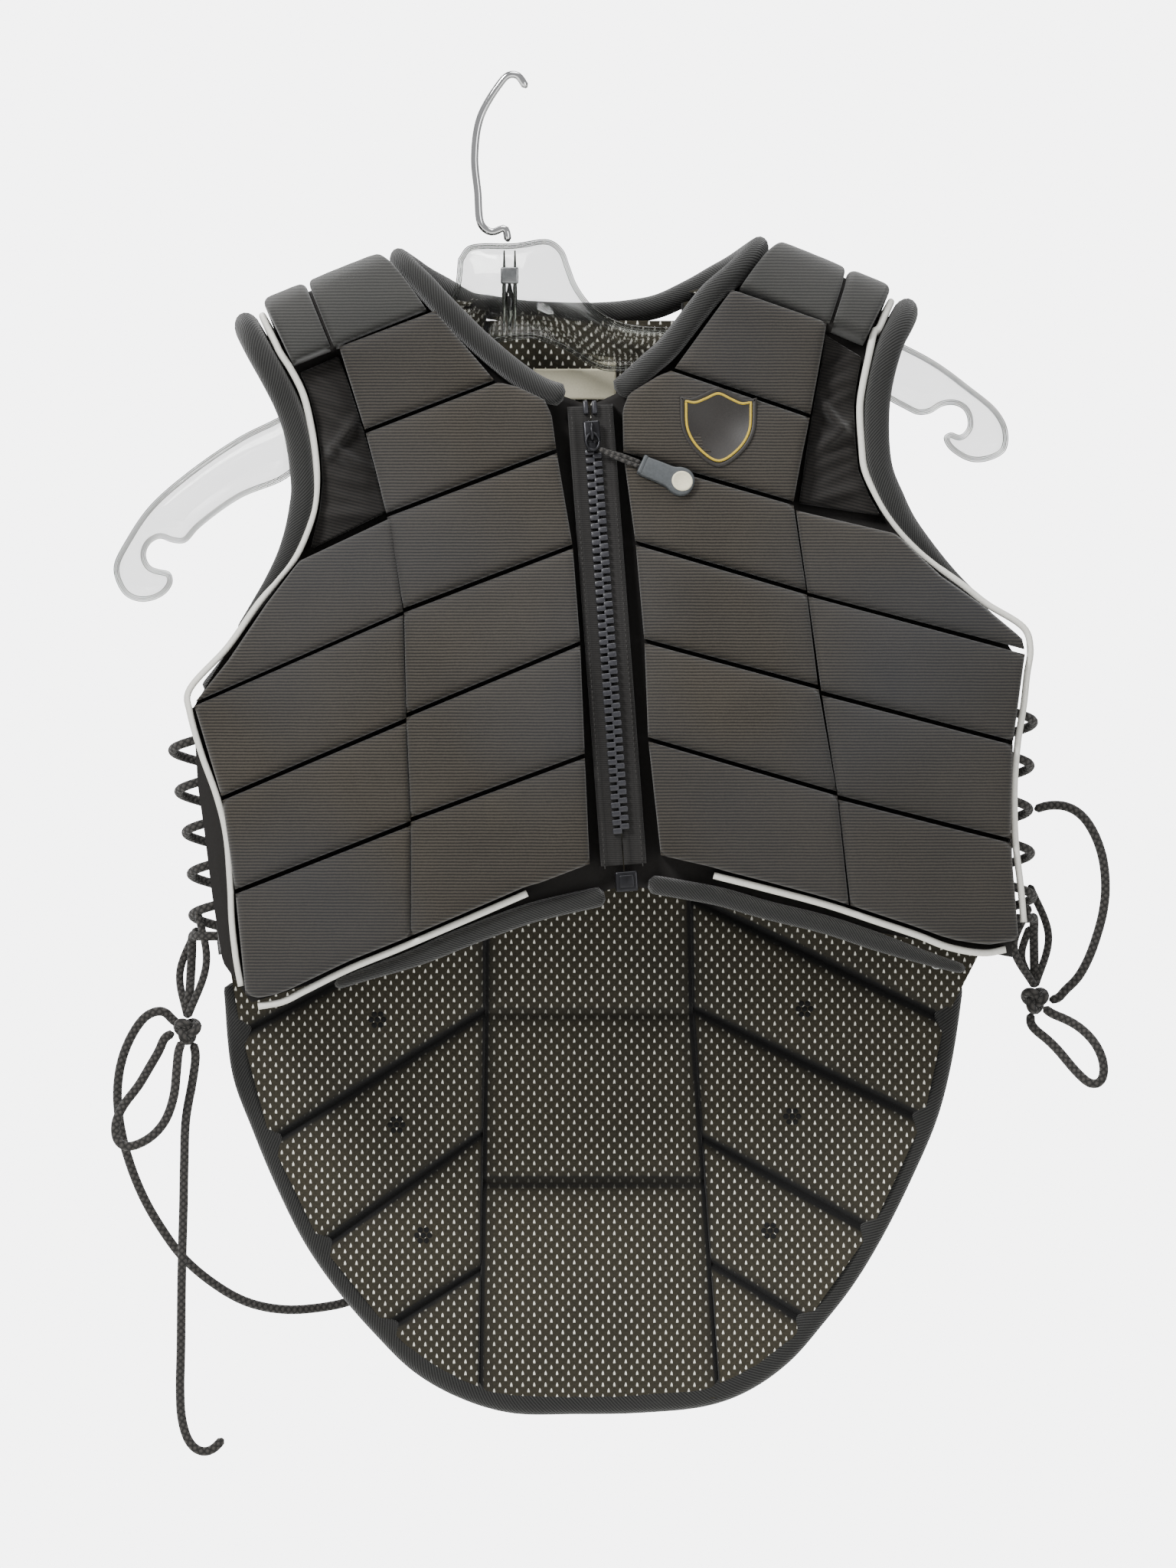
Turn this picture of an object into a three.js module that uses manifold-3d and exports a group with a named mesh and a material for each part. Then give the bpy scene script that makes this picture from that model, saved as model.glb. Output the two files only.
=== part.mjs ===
// Rider's body protector with laced sides, hung on a moulded clothes hanger.
// Millimetres, +Z up, -Y to the front, the wearer's right at -X.
// The origin is the point of the hook that rests on a rail.
import * as THREE from 'three';
import { mergeVertices } from 'three/addons/utils/BufferGeometryUtils.js';
import Module from 'manifold-3d';

const wasm = await Module();
wasm.setup();

// Vest sizes
const CHEST_WIDTH = 396;
const VEST_LENGTH = 562;
const FRONT_SWELL = 45;
const BACK_SWELL = 32;
const SHOULDER_RADIUS = 38;
const SHOULDER_SLOPE = THREE.MathUtils.degToRad(22);
const CHEST_DROP = 210;
const FOAM = 19;
const LINING = 2.4;
const LINING_GAP = 0.9;
const GAP = 0.3;
const GROOVE = 2.6;
const PAD_ROUND = 3;
const QUILT_DEPTH = 5;
const QUILT_HALF_WIDTH = 4;
const TAIL_EDGE = -13;
const WING_GAP = 0.9;

// Trim sizes
const NECK_ROLL = 11.5;
const ARM_ROLL = 12.5;
const TAIL_ROLL = 12.5;
const HEM_ROLL = 12;
const HEM_SEAT = 1.8;
const PIPING_WIDTH = 3.2;
const PIPING_TOP = -6;
const ZIP_BAND_WIDTH = 10.6;
const ZIP_BAND_HEIGHT = 9.5;
const ZIP_TEETH_WIDTH = 3.2;
const ZIP_TEETH_HEIGHT = 2.5;
const SLIDER_WIDTH = 8;
const SLIDER_HEIGHT = 12;
const ZIP_BOX_WIDTH = 11;
const ZIP_BOX_HEIGHT = 10;
const GRIP_WIDTH = 14;
const GRIP_THICKNESS = 4;
const PULL_CORD_SHARE = 0.24;
const BADGE_WIDTH = 37;
const BADGE_HEIGHT = 39;
const BADGE_THICKNESS = 2.2;
const LACE = 4.4;
const LACE_TURNS = 5;
const LACE_REACH = 11;
const LACE_HOLE_GAP = 0.9;
const KNOT = 13;
const KNOT_GAP = 0.3;

// Hanger sizes
const HANGER_SPAN = 432;
const HANGER_THICKNESS = 9;
const ARM_HEIGHT = 17;
const HOOK_WIRE = 3.6;
const HOOK_HEIGHT = 77;
const HOOK_SEAT = 0.73;
const HUB_SHIFT = 1.1;
const SEAT_CLEARANCE = 1.1;
const VEST_OFFSET = 42.5;

const HALF_CHEST = CHEST_WIDTH / 2;
const LINING_TOP = -FOAM - LINING_GAP;
const LINING_LOW = LINING_TOP - LINING;
const FRONT = -1;
const BACK = 1;

function table(columns, rows) {
  return rows.map((row) => Object.fromEntries(columns.map((name, i) => [name, row[i]])));
}

// Outlines as seen from the front. across is a share of half the chest from the centre line,
// down a share of the vest's length from the top of the neck roll.
const PLACE = ['across', 'down'];
const GROOVE_ENDS = ['zipAcross', 'zipDown', 'sideAcross', 'sideDown'];

const GROOVES = {
  right: {
    inner: table(GROOVE_ENDS, [
      [-0.394, 0.068, -0.623, 0.098],
      [-0.244, 0.13, -0.558, 0.172],
      [-0.098, 0.189, -0.506, 0.243],
      [-0.059, 0.27, -0.464, 0.324],
      [-0.041, 0.352, -0.458, 0.413],
      [-0.03, 0.447, -0.447, 0.501],
      [-0.018, 0.54, -0.447, 0.598],
    ]),
    outer: table(GROOVE_ENDS, [
      [-0.495, 0.244, -0.712, 0.28],
      [-0.466, 0.326, -0.969, 0.403],
      [-0.458, 0.417, -0.882, 0.483],
      [-0.447, 0.504, -0.835, 0.562],
      [-0.447, 0.598, -0.826, 0.651],
    ]),
    neckKnee: table(PLACE, [[-0.192, 0.134], [-0.126, 0.145], [-0.109, 0.158]]),
    armKnee: table(PLACE, [[-0.795, 0.318], [-0.887, 0.366], [-0.962, 0.399]]),
    hemBow: table(PLACE, [[-0.632, 0.627]]),
  },
  left: {
    inner: table(GROOVE_ENDS, [
      [0.329, 0.049, 0.555, 0.076],
      [0.183, 0.12, 0.512, 0.159],
      [0.063, 0.192, 0.471, 0.233],
      [0.092, 0.267, 0.503, 0.309],
      [0.113, 0.35, 0.53, 0.389],
      [0.122, 0.433, 0.575, 0.479],
      [0.153, 0.533, 0.604, 0.569],
    ]),
    outer: table(GROOVE_ENDS, [
      [0.477, 0.238, 0.713, 0.257],
      [0.505, 0.31, 1.009, 0.359],
      [0.538, 0.394, 0.993, 0.436],
      [0.577, 0.482, 0.989, 0.519],
      [0.608, 0.57, 1.013, 0.605],
    ]),
    neckKnee: table(PLACE, [[0.146, 0.125], [0.075, 0.14], [0.06, 0.154]]),
    armKnee: table(PLACE, [[0.828, 0.295], [0.926, 0.319], [1.022, 0.347]]),
    hemBow: table(PLACE, [[0.771, 0.594]]),
  },
};

// Centre lines of the rolled edges
const NECK_FRONT = {
  right: table(PLACE, [
    [-0.079, 0.142], [-0.128, 0.137], [-0.185, 0.125], [-0.281, 0.097], [-0.333, 0.079], [-0.377, 0.062],
  ]),
  left: table(PLACE, [
    [0.048, 0.139], [0.087, 0.128], [0.126, 0.115], [0.165, 0.103], [0.209, 0.084], [0.248, 0.066],
    [0.282, 0.051],
  ]),
};
const NECK_BACK = table(PLACE, [
  [-0.309, 0.061], [-0.259, 0.064], [-0.185, 0.068], [-0.074, 0.07], [0, 0.07], [0.074, 0.068],
  [0.148, 0.063], [0.222, 0.051],
]);
const ARM_FRONT = {
  right: table(PLACE, [
    [-0.776, 0.128], [-0.745, 0.15], [-0.721, 0.175], [-0.71, 0.201], [-0.706, 0.225], [-0.719, 0.249],
    [-0.745, 0.275], [-0.78, 0.298], [-0.817, 0.318], [-0.862, 0.341],
  ]),
  left: table(PLACE, [
    [0.701, 0.104], [0.682, 0.128], [0.673, 0.15], [0.673, 0.185], [0.682, 0.206], [0.706, 0.227],
    [0.739, 0.248], [0.791, 0.271], [0.852, 0.294], [0.915, 0.314],
  ]),
};
const ARM_BACK = {
  right: table(PLACE, [
    [-0.767, 0.126], [-0.73, 0.167], [-0.71, 0.219], [-0.721, 0.271], [-0.773, 0.317], [-0.86, 0.359],
    [-0.94, 0.395],
  ]),
  left: table(PLACE, [
    [0.68, 0.116], [0.656, 0.154], [0.643, 0.193], [0.665, 0.232], [0.739, 0.268], [0.85, 0.304],
    [0.95, 0.338],
  ]),
};
const SIDE_FRONT = {
  right: table(PLACE, [
    [-0.832, 0.656], [-0.902, 0.622], [-0.928, 0.564], [-0.946, 0.512], [-0.962, 0.473], [-0.969, 0.434],
    [-0.98, 0.41],
  ]),
  left: table(PLACE, [
    [1.0, 0.618], [0.991, 0.558], [0.987, 0.512], [0.983, 0.473], [0.991, 0.434], [1.0, 0.395],
    [1.01, 0.363],
  ]),
};
const TAIL = table(PLACE, [
  [-0.875, 0.64], [-0.872, 0.654], [-0.854, 0.716], [-0.808, 0.761], [-0.75, 0.81], [-0.68, 0.859],
  [-0.599, 0.9], [-0.518, 0.933], [-0.425, 0.965], [-0.32, 0.986], [-0.205, 0.998], [-0.054, 0.999],
  [0.098, 0.998], [0.261, 0.992], [0.353, 0.98], [0.445, 0.957], [0.527, 0.924], [0.597, 0.892],
  [0.667, 0.851], [0.736, 0.802], [0.795, 0.753], [0.828, 0.708], [0.852, 0.654], [0.856, 0.64],
]);
const HEM = {
  right: table(PLACE, [
    [-0.63, 0.641], [-0.558, 0.632], [-0.447, 0.619], [-0.338, 0.603], [-0.227, 0.588], [-0.153, 0.579],
    [0.018, 0.565],
  ]),
  left: table(PLACE, [
    [0.122, 0.555], [0.205, 0.56], [0.294, 0.566], [0.403, 0.577], [0.551, 0.59], [0.662, 0.603],
    [0.763, 0.615], [0.845, 0.624], [0.885, 0.628],
  ]),
};
const PIPING = {
  edge_right: table(PLACE, [
    [-0.769, 0.1], [-0.739, 0.118], [-0.708, 0.14], [-0.689, 0.167], [-0.678, 0.193], [-0.675, 0.215],
    [-0.682, 0.239], [-0.708, 0.266], [-0.73, 0.281], [-0.769, 0.298], [-0.815, 0.318], [-0.887, 0.354],
    [-0.985, 0.394], [-0.98, 0.41], [-0.952, 0.445], [-0.915, 0.481], [-0.893, 0.512], [-0.882, 0.557],
    [-0.878, 0.588], [-0.867, 0.621], [-0.856, 0.642],
  ]),
  edge_left: table(PLACE, [
    [0.677, 0.079], [0.658, 0.102], [0.64, 0.13], [0.632, 0.15], [0.636, 0.183], [0.643, 0.204],
    [0.669, 0.225], [0.701, 0.244], [0.752, 0.266], [0.821, 0.287], [0.882, 0.303], [0.936, 0.318],
    [1.03, 0.34], [1.042, 0.357], [1.034, 0.378], [1.026, 0.404], [1.012, 0.435], [1.004, 0.471],
    [1.006, 0.518], [1.019, 0.559], [1.026, 0.588],
  ]),
  hem_right: table(PLACE, [
    [-0.815, 0.659], [-0.756, 0.655], [-0.704, 0.646], [-0.595, 0.627], [-0.484, 0.611], [-0.338, 0.589],
    [-0.168, 0.563],
  ]),
  hem_left: table(PLACE, [
    [0.279, 0.548], [0.403, 0.559], [0.551, 0.573], [0.662, 0.586], [0.771, 0.599], [0.845, 0.609],
    [0.933, 0.614], [0.983, 0.611],
  ]),
};
const ZIP = table(PLACE, [[-0.018, 0.149], [0.067, 0.556]]);
const ZIP_BOX = table(PLACE, [[0.07, 0.553]])[0];
const BADGE_PLACE = table(PLACE, [[0.291, 0.169]])[0];
const LABEL_CORNERS = table(PLACE, [[-0.152, 0.117], [0.046, 0.143]]);

// Where the strap's two edges run over the shoulder: turn is the angle gone round the roll, the
// others are distances along it from the roll's own point, as shares of the shoulder radius
const STRAP = table(['turn', 'neck', 'arm', 'piping'], [
  [8, 0.62, -1.68, -1.46], [30, 0.5, -1.73, -1.5], [50, 0.41, -1.75, -1.52], [70, 0.36, -1.76, -1.53],
  [90, 0.34, -1.76, -1.53], [115, 0.4, -1.75, -1.52], [140, 0.55, -1.72, -1.49], [160, 0.74, -1.69, -1.46],
  [180, 0.95, -1.65, -1.43],
]);
const ARM_REACH = { right: 1, left: 0.955 };
const SHOULDER_BLOCKS = {
  right: table(['name', 'low', 'neckLow', 'neckTop', 'armLow', 'armTop'], [
    ['inner', 6, 0.41, 0.12, -0.79, -0.79],
    ['outer', 7, -0.93, -0.93, -1.4, -1.46],
  ]),
  left: table(['name', 'low', 'neckLow', 'neckTop', 'armLow', 'armTop'], [
    ['inner', 16, 0.36, 0.12, -0.78, -0.74],
    ['outer', 18, -0.95, -0.86, -1.34, -1.4],
  ]),
};

// Stretch insets beside the dividers
const INSET = {
  right: {
    divider: table(PLACE, [[-0.505, 0.242], [-0.562, 0.172], [-0.598, 0.132], [-0.625, 0.106]]),
    armSide: table(PLACE, [
      [-0.692, 0.274], [-0.668, 0.24], [-0.66, 0.215], [-0.664, 0.193], [-0.675, 0.166], [-0.695, 0.138],
      [-0.718, 0.12],
    ]),
  },
  left: {
    divider: table(PLACE, [[0.484, 0.235], [0.517, 0.16], [0.54, 0.115], [0.552, 0.082]]),
    armSide: table(PLACE, [
      [0.685, 0.245], [0.654, 0.226], [0.628, 0.205], [0.621, 0.183], [0.617, 0.15], [0.624, 0.131],
      [0.638, 0.106],
    ]),
  },
};
// Folds of the stretch inset: place down it, how far it slants, and its height
const INSET_FOLDS = table(['at', 'slant', 'height'], [
  [0.15, 0.2, 2], [0.33, -0.25, 3], [0.52, 0.15, 2], [0.7, -0.2, 3], [0.86, 0.1, 2],
]);
const INSET_LEVEL = -14;

// Back sections: creases across the spine and grooves of the wings, rising to the spine
const SPINE = table(['down', 'right', 'left'], [
  [0.085, -0.27, 0.205], [0.23, -0.27, 0.222], [0.376, -0.27, 0.222], [0.522, -0.27, 0.224],
  [0.667, -0.272, 0.232], [0.811, -0.279, 0.262], [0.974, -0.286, 0.295], [0.996, -0.288, 0.299],
]);
const WING_COLUMNS = ['spineDown', 'edgeAcross', 'edgeDown'];
const WING_GROOVES = {
  right: table(WING_COLUMNS, [
    [0.115, -0.675, 0.2], [0.19, -0.7, 0.29], [0.285, -0.965, 0.412], [0.38, -0.944, 0.49],
    [0.475, -0.915, 0.575], [0.571, -0.861, 0.684], [0.665, -0.79, 0.776], [0.769, -0.668, 0.865],
    [0.885, -0.508, 0.935],
  ]),
  left: table(WING_COLUMNS, [
    [0.11, 0.62, 0.18], [0.19, 0.64, 0.26], [0.285, 1.012, 0.38], [0.38, 1.0, 0.47],
    [0.475, 1.005, 0.56], [0.568, 0.842, 0.672], [0.663, 0.79, 0.757], [0.773, 0.664, 0.852],
    [0.88, 0.508, 0.93],
  ]),
};
const WING_TOP = {
  right: table(PLACE, [[-0.27, 0.08], [-0.357, 0.072], [-0.72, 0.125]]),
  left: table(PLACE, [[0.205, 0.07], [0.277, 0.063], [0.628, 0.114]]),
};
const WING_FOOT = {
  right: table(PLACE, [[-0.292, 0.986], [-0.36, 0.976], [-0.44, 0.958]]),
  left: table(PLACE, [[0.3, 0.984], [0.38, 0.972], [0.45, 0.954]]),
};

// Lacing: the line of each spiral beside the edge, and how far its tabs lean outwards
const LACING = {
  right: { from: 0.425, to: 0.6, lean: 4 },
  left: { from: 0.4, to: 0.585, lean: 0 },
};
const LACING_EDGE = {
  right: table(PLACE, [
    [-0.965, 0.405], [-0.945, 0.434], [-0.935, 0.458], [-0.921, 0.49], [-0.905, 0.52], [-0.893, 0.56],
    [-0.893, 0.6], [-0.889, 0.615],
  ]),
  left: table(PLACE, [
    [1.005, 0.37], [1.0, 0.41], [0.993, 0.44], [0.986, 0.475], [0.988, 0.51], [0.995, 0.55],
    [1.0, 0.6],
  ]),
};

// The roll of each shoulder passes through this point
const ROLL_POINT = {
  right: table(PLACE, [[-0.477, 0.085]])[0],
  left: table(PLACE, [[0.39, 0.075]])[0],
};
const SIDE_SIGN = { right: -1, left: 1 };

// Vest frame: x from the centre line, z from the top of the neck roll
function spot(place) {
  return { x: place.across * HALF_CHEST, z: -place.down * VEST_LENGTH };
}

function rollFrame(side) {
  const sign = SIDE_SIGN[side];
  return {
    point: spot(ROLL_POINT[side]),
    up: { x: sign * Math.sin(SHOULDER_SLOPE), z: Math.cos(SHOULDER_SLOPE) },
    inward: { x: -sign * Math.cos(SHOULDER_SLOPE), z: Math.sin(SHOULDER_SLOPE) },
  };
}

const ROLLS = { right: rollFrame('right'), left: rollFrame('left') };

function aboveRoll(side, x, z) {
  const roll = ROLLS[side];
  return (x - roll.point.x) * roll.up.x + (z - roll.point.z) * roll.up.z;
}

function strapSpot(side, along, degrees) {
  const roll = ROLLS[side];
  const arc = SHOULDER_RADIUS * THREE.MathUtils.degToRad(degrees);
  return {
    x: roll.point.x + along * roll.inward.x + arc * roll.up.x,
    z: roll.point.z + along * roll.inward.z + arc * roll.up.z,
  };
}

// Depth of the outer skin below the rolls
function skinDepth(x, z, face) {
  const right = aboveRoll('right', x, z);
  const left = aboveRoll('left', x, z);
  const below = -(right + left + Math.hypot(right - left, SHOULDER_RADIUS / 2)) / 2;
  const fall = THREE.MathUtils.smoothstep(below, 0, CHEST_DROP);
  const swell = face === FRONT ? FRONT_SWELL : BACK_SWELL;
  const share = Math.min(1, Math.abs(x) / HALF_CHEST);
  return SHOULDER_RADIUS + swell * fall * (1 - share ** 1.8);
}

// The point at a height over the outer skin, for a place in the front view. Above a roll the
// place runs on flat, and wraps round the roll.
function onVest(place, height, face) {
  const side = place.x < (ROLLS.right.point.x + ROLLS.left.point.x) / 2 ? 'right' : 'left';
  const rise = aboveRoll(side, place.x, place.z);
  if (rise <= 0) {
    return new THREE.Vector3(place.x, face * (skinDepth(place.x, place.z, face) + height), place.z);
  }
  const roll = ROLLS[side];
  const radius = SHOULDER_RADIUS + height;
  const turn = rise / SHOULDER_RADIUS;
  const lift = radius * Math.sin(turn) - rise;
  return new THREE.Vector3(
    place.x + lift * roll.up.x, face * radius * Math.cos(turn), place.z + lift * roll.up.z);
}

// Mesh helpers
function closed(geometry) {
  geometry.deleteAttribute('normal');
  geometry.deleteAttribute('uv');
  const merged = mergeVertices(geometry, 1e-4);
  const position = merged.attributes.position;
  const index = merged.index.array;
  const corners = [0, 1, 2].map(() => new THREE.Vector3());
  let volume = 0;
  for (let i = 0; i < index.length; i += 3) {
    corners.forEach((corner, k) => corner.fromBufferAttribute(position, index[i + k]));
    volume += corners[0].dot(corners[1].clone().cross(corners[2]));
  }
  if (volume < 0) {
    for (let i = 0; i < index.length; i += 3) {
      [index[i], index[i + 1]] = [index[i + 1], index[i]];
    }
  }
  return merged;
}

function reshape(geometry, move) {
  const position = geometry.attributes.position;
  for (let i = 0; i < position.count; i += 1) {
    const point = move(position.getX(i), position.getY(i), position.getZ(i));
    position.setXYZ(i, point.x, point.y, point.z);
  }
  return closed(geometry);
}

function solid(geometry) {
  const mesh = new wasm.Mesh({
    numProp: 3,
    vertProperties: new Float32Array(geometry.attributes.position.array),
    triVerts: new Uint32Array(geometry.index.array),
  });
  return new wasm.Manifold(mesh);
}

function fromSolid(manifold) {
  const mesh = manifold.getMesh();
  const geometry = new THREE.BufferGeometry();
  geometry.setAttribute('position', new THREE.BufferAttribute(mesh.vertProperties, 3));
  geometry.setIndex(new THREE.BufferAttribute(mesh.triVerts, 1));
  return geometry;
}

// The point at a share of a polyline's length
function lineAt(points, share) {
  const lengths = [0];
  for (let i = 1; i < points.length; i += 1) {
    const step = Math.hypot(points[i].x - points[i - 1].x, points[i].z - points[i - 1].z);
    lengths.push(lengths[i - 1] + step);
  }
  const target = share * lengths[points.length - 1];
  let i = 1;
  while (i < points.length - 1 && lengths[i] < target) {
    i += 1;
  }
  const local = (target - lengths[i - 1]) / (lengths[i] - lengths[i - 1]);
  return {
    x: THREE.MathUtils.lerp(points[i - 1].x, points[i].x, local),
    z: THREE.MathUtils.lerp(points[i - 1].z, points[i].z, local),
  };
}

// Direction square to the skin at a place
function skinNormal(place, height, face) {
  const middle = onVest(place, height, face);
  const acrossStep = onVest({ x: place.x + 1, z: place.z }, height, face).sub(middle);
  const upStep = onVest({ x: place.x, z: place.z + 1 }, height, face).sub(middle);
  const normal = acrossStep.cross(upStep).normalize();
  return normal.dot(onVest(place, height + 1, face).sub(middle)) < 0 ? normal.negate() : normal;
}

// A strip of one section along keys, which are places with the face they lie on. The section is
// a list of [across, height] corners, and width scales it at each share of the way. A key may
// carry a lift over the surface.
function strip(keys, section, steps, width = () => 1) {
  const middle = [0, 1].map((k) => section.reduce((sum, corner) => sum + corner[k], 0) / section.length);
  const level = (key) => middle[1] + (key.lift || 0);
  const centres = keys.map((key) => onVest(key, level(key), key.face));
  const outward = keys.map((key, i) => onVest(key, level(key) + 1, key.face).sub(centres[i]));
  const normals = keys.map((key) => skinNormal(key, level(key), key.face));
  const curve = new THREE.CatmullRomCurve3(centres, false, 'centripetal');
  const geometry = new THREE.CylinderGeometry(1, 1, 1, section.length, steps);
  return reshape(geometry, (x, y, z) => {
    const share = y + 0.5;
    const centre = curve.getPointAt(share);
    const way = curve.getUtoTmapping(share) * (keys.length - 1);
    const i = Math.min(keys.length - 2, Math.floor(way));
    const out = outward[i].clone().lerp(outward[i + 1], way - i).normalize();
    const square = normals[i].clone().lerp(normals[i + 1], way - i).normalize();
    const aside = curve.getTangentAt(share).cross(square).normalize();
    if (Math.hypot(x, z) > 0.5) {
      const turn = Math.round((Math.atan2(x, z) / (2 * Math.PI)) * section.length);
      const corner = section[(turn + section.length) % section.length];
      centre.addScaledVector(aside, corner[0] * width(share));
      centre.addScaledVector(out, (corner[1] - middle[1]) * width(share));
    }
    return centre;
  });
}

function ovalSection(width, low, high, sides) {
  return Array.from({ length: sides }, (_, i) => {
    const angle = ((i + 0.5) / sides) * 2 * Math.PI;
    return [(width / 2) * Math.cos(angle), (low + high) / 2 + ((high - low) / 2) * Math.sin(angle)];
  });
}

function boxSection(from, to, low, high) {
  return [[to, low], [to, high], [from, high], [from, low]];
}

function faceKeys(places, face) {
  return places.map((place) => ({ ...place, face }));
}

// A block with a rounded outer rim. Its edges are polylines: bottom and top run from the start
// edge to the end edge, and start and end run upwards.
function block(edges, across, upward, high = () => 0) {
  const { bottom, top } = edges;
  const start = edges.start || [bottom[0], top[0]];
  const end = edges.end || [bottom[bottom.length - 1], top[top.length - 1]];
  const last = { bottom: bottom[bottom.length - 1], top: top[top.length - 1] };
  const span = (line) => line.slice(1).reduce(
    (sum, point, i) => sum + Math.hypot(point.x - line[i].x, point.z - line[i].z), 0);
  const width = (span(top) + span(bottom)) / 2;
  const height = (span(start) + span(end)) / 2;
  const place = (a, b) => {
    const under = lineAt(bottom, a);
    const over = lineAt(top, a);
    const first = lineAt(start, b);
    const second = lineAt(end, b);
    const mix = (k) => (1 - b) * under[k] + b * over[k] + (1 - a) * first[k] + a * second[k]
      - (1 - a) * ((1 - b) * bottom[0][k] + b * top[0][k])
      - a * ((1 - b) * last.bottom[k] + b * last.top[k]);
    return { x: mix('x'), z: mix('z') };
  };
  const station = (share, count, size) => {
    const i = Math.round((share + 0.5) * count);
    const inset = GROOVE / 2 / size;
    const round = (PAD_ROUND * 1.3) / size;
    const inner = round + ((i - 1) / (count - 2)) * (1 - 2 * round);
    const rimmed = i === 0 || i === count;
    return { at: inset + (rimmed ? i / count : inner) * (1 - 2 * inset), rimmed };
  };
  const geometry = new THREE.BoxGeometry(1, 1, 1, across, upward, 1);
  return reshape(geometry, (x, y, z) => {
    const a = station(x, across, width);
    const b = station(y, upward, height);
    const drop = a.rimmed || b.rimmed ? PAD_ROUND : 0;
    return onVest(place(a.at, b.at), z > 0 ? high(a.at, b.at) - drop : -FOAM, FRONT);
  });
}

// A sheet through rows, which are polylines from one edge to the other. columns gives the share
// along each row, and relief the heights of its low and high face.
function ruled(rows, columns, relief, face) {
  const geometry = new THREE.BoxGeometry(1, 1, 1, columns.length - 1, rows.length - 1, 1);
  return reshape(geometry, (x, y, z) => {
    const row = Math.round((y + 0.5) * (rows.length - 1));
    const column = Math.round((x + 0.5) * (columns.length - 1));
    const heights = relief(row, column);
    return onVest(lineAt(rows[row], columns[column]), z > 0 ? heights.high : heights.low, face);
  });
}

function roundSection(diameter, sides) {
  const section = new THREE.Shape();
  for (let i = 0; i < sides; i += 1) {
    const angle = (i / sides) * 2 * Math.PI;
    const corner = [(diameter / 2) * Math.cos(angle), (diameter / 2) * Math.sin(angle)];
    if (i === 0) {
      section.moveTo(...corner);
    } else {
      section.lineTo(...corner);
    }
  }
  section.closePath();
  return section;
}

// A round bar along points, with a step every few diameters unless steps are given
function tube(points, diameter, sides, steps = 0) {
  const curve = new THREE.CatmullRomCurve3(points.map((p) => new THREE.Vector3(...p)), false, 'centripetal');
  const count = steps || Math.round(curve.getLength() / (2 * diameter));
  const options = { steps: count, bevelEnabled: false, extrudePath: curve };
  return closed(new THREE.ExtrudeGeometry(roundSection(diameter, sides), options));
}

// Finishes
function finish(hex, roughness, metalness = 0) {
  return new THREE.MeshStandardMaterial({ color: hex, roughness, metalness });
}

const FABRIC = finish('#45423f', 0.85);
const SHOULDER_FABRIC = finish('#4a4a48', 0.8);
const LINING_MESH = finish('#6e6a58', 0.9);
const TWILL = finish('#3f3f3d', 0.75);
const STRETCH = finish('#3a3634', 0.8);
const WHITE_PIPING = finish('#eeeeea', 0.6);
const ZIP_TAPE = finish('#35353a', 0.8);
const DARK_METAL = finish('#4a4a4c', 0.35, 0.9);
const RUBBER = finish('#2c2c2c', 0.55);
const CREAM = finish('#e8e2cc', 0.6);
const CORD = finish('#3c3a38', 0.85);
const CLEAR_PLASTIC = finish('#e9eeee', 0.15);
const CHROME = finish('#c8c8c8', 0.15, 1);

const vest = new THREE.Group();
const hanger = new THREE.Group();

function add(group, name, geometry, material) {
  const mesh = new THREE.Mesh(geometry, material);
  mesh.name = name;
  group.add(mesh);
}

// Front pads between the grooves
function grooveLine(row, bow = []) {
  const zipEnd = spot({ across: row.zipAcross, down: row.zipDown });
  const sideEnd = spot({ across: row.sideAcross, down: row.sideDown });
  return [zipEnd, ...bow.map(spot), sideEnd];
}

function padColumn(side, column, names, knees) {
  const rows = GROOVES[side][column];
  names.forEach((name, i) => {
    const knee = knees[name] || {};
    const top = grooveLine(rows[i]);
    const bottom = grooveLine(rows[i + 1], knee.bow);
    const edges = { top, bottom };
    if (knee.start) {
      edges.start = [bottom[0], ...knee.start.map(spot).reverse(), top[0]];
    }
    if (knee.end) {
      edges.end = [bottom[bottom.length - 1], ...knee.end.map(spot).reverse(), top[1]];
    }
    add(vest, `pad_${name}_${side}`, block(edges, 4, 4), FABRIC);
  });
}

function shoulderBlocks(side) {
  SHOULDER_BLOCKS[side].forEach((row) => {
    const at = (along, turn) => strapSpot(side, along * SHOULDER_RADIUS, turn);
    const far = 180 - row.low;
    const start = [at(row.neckLow, row.low), at(row.neckTop, 90), at(row.neckLow, far)];
    const end = [at(row.armLow, row.low), at(row.armTop, 90), at(row.armLow, far)];
    const edges = { bottom: [start[0], end[0]], top: [start[2], end[2]], start, end };
    add(vest, `shoulder_block_${row.name}_${side}`, block(edges, 3, 8), SHOULDER_FABRIC);
  });
}

function stretchInset(side) {
  const start = INSET[side].divider.map(spot);
  const end = INSET[side].armSide.map(spot);
  const edges = {
    start,
    end,
    bottom: [start[0], end[0]],
    top: [start[start.length - 1], end[end.length - 1]],
  };
  const folds = (a, b) => INSET_FOLDS.reduce((sum, fold) => {
    const away = (b - fold.at - fold.slant * (a - 0.5)) / 0.07;
    return sum + fold.height * Math.exp(-away * away);
  }, INSET_LEVEL);
  add(vest, `stretch_inset_${side}`, block(edges, 3, 11, folds), STRETCH);
}

// Edges over the shoulder: keys on the front up to the top of the roll, then on the back
function strapKeys(side, column) {
  const reach = column === 'neck' ? 1 : ARM_REACH[side];
  return STRAP.map((row) => {
    const front = row.turn <= 90;
    const turn = front ? row.turn : 180 - row.turn;
    const along = row[column] * reach * SHOULDER_RADIUS;
    return { ...strapSpot(side, along, turn), face: front ? FRONT : BACK };
  });
}

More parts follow.
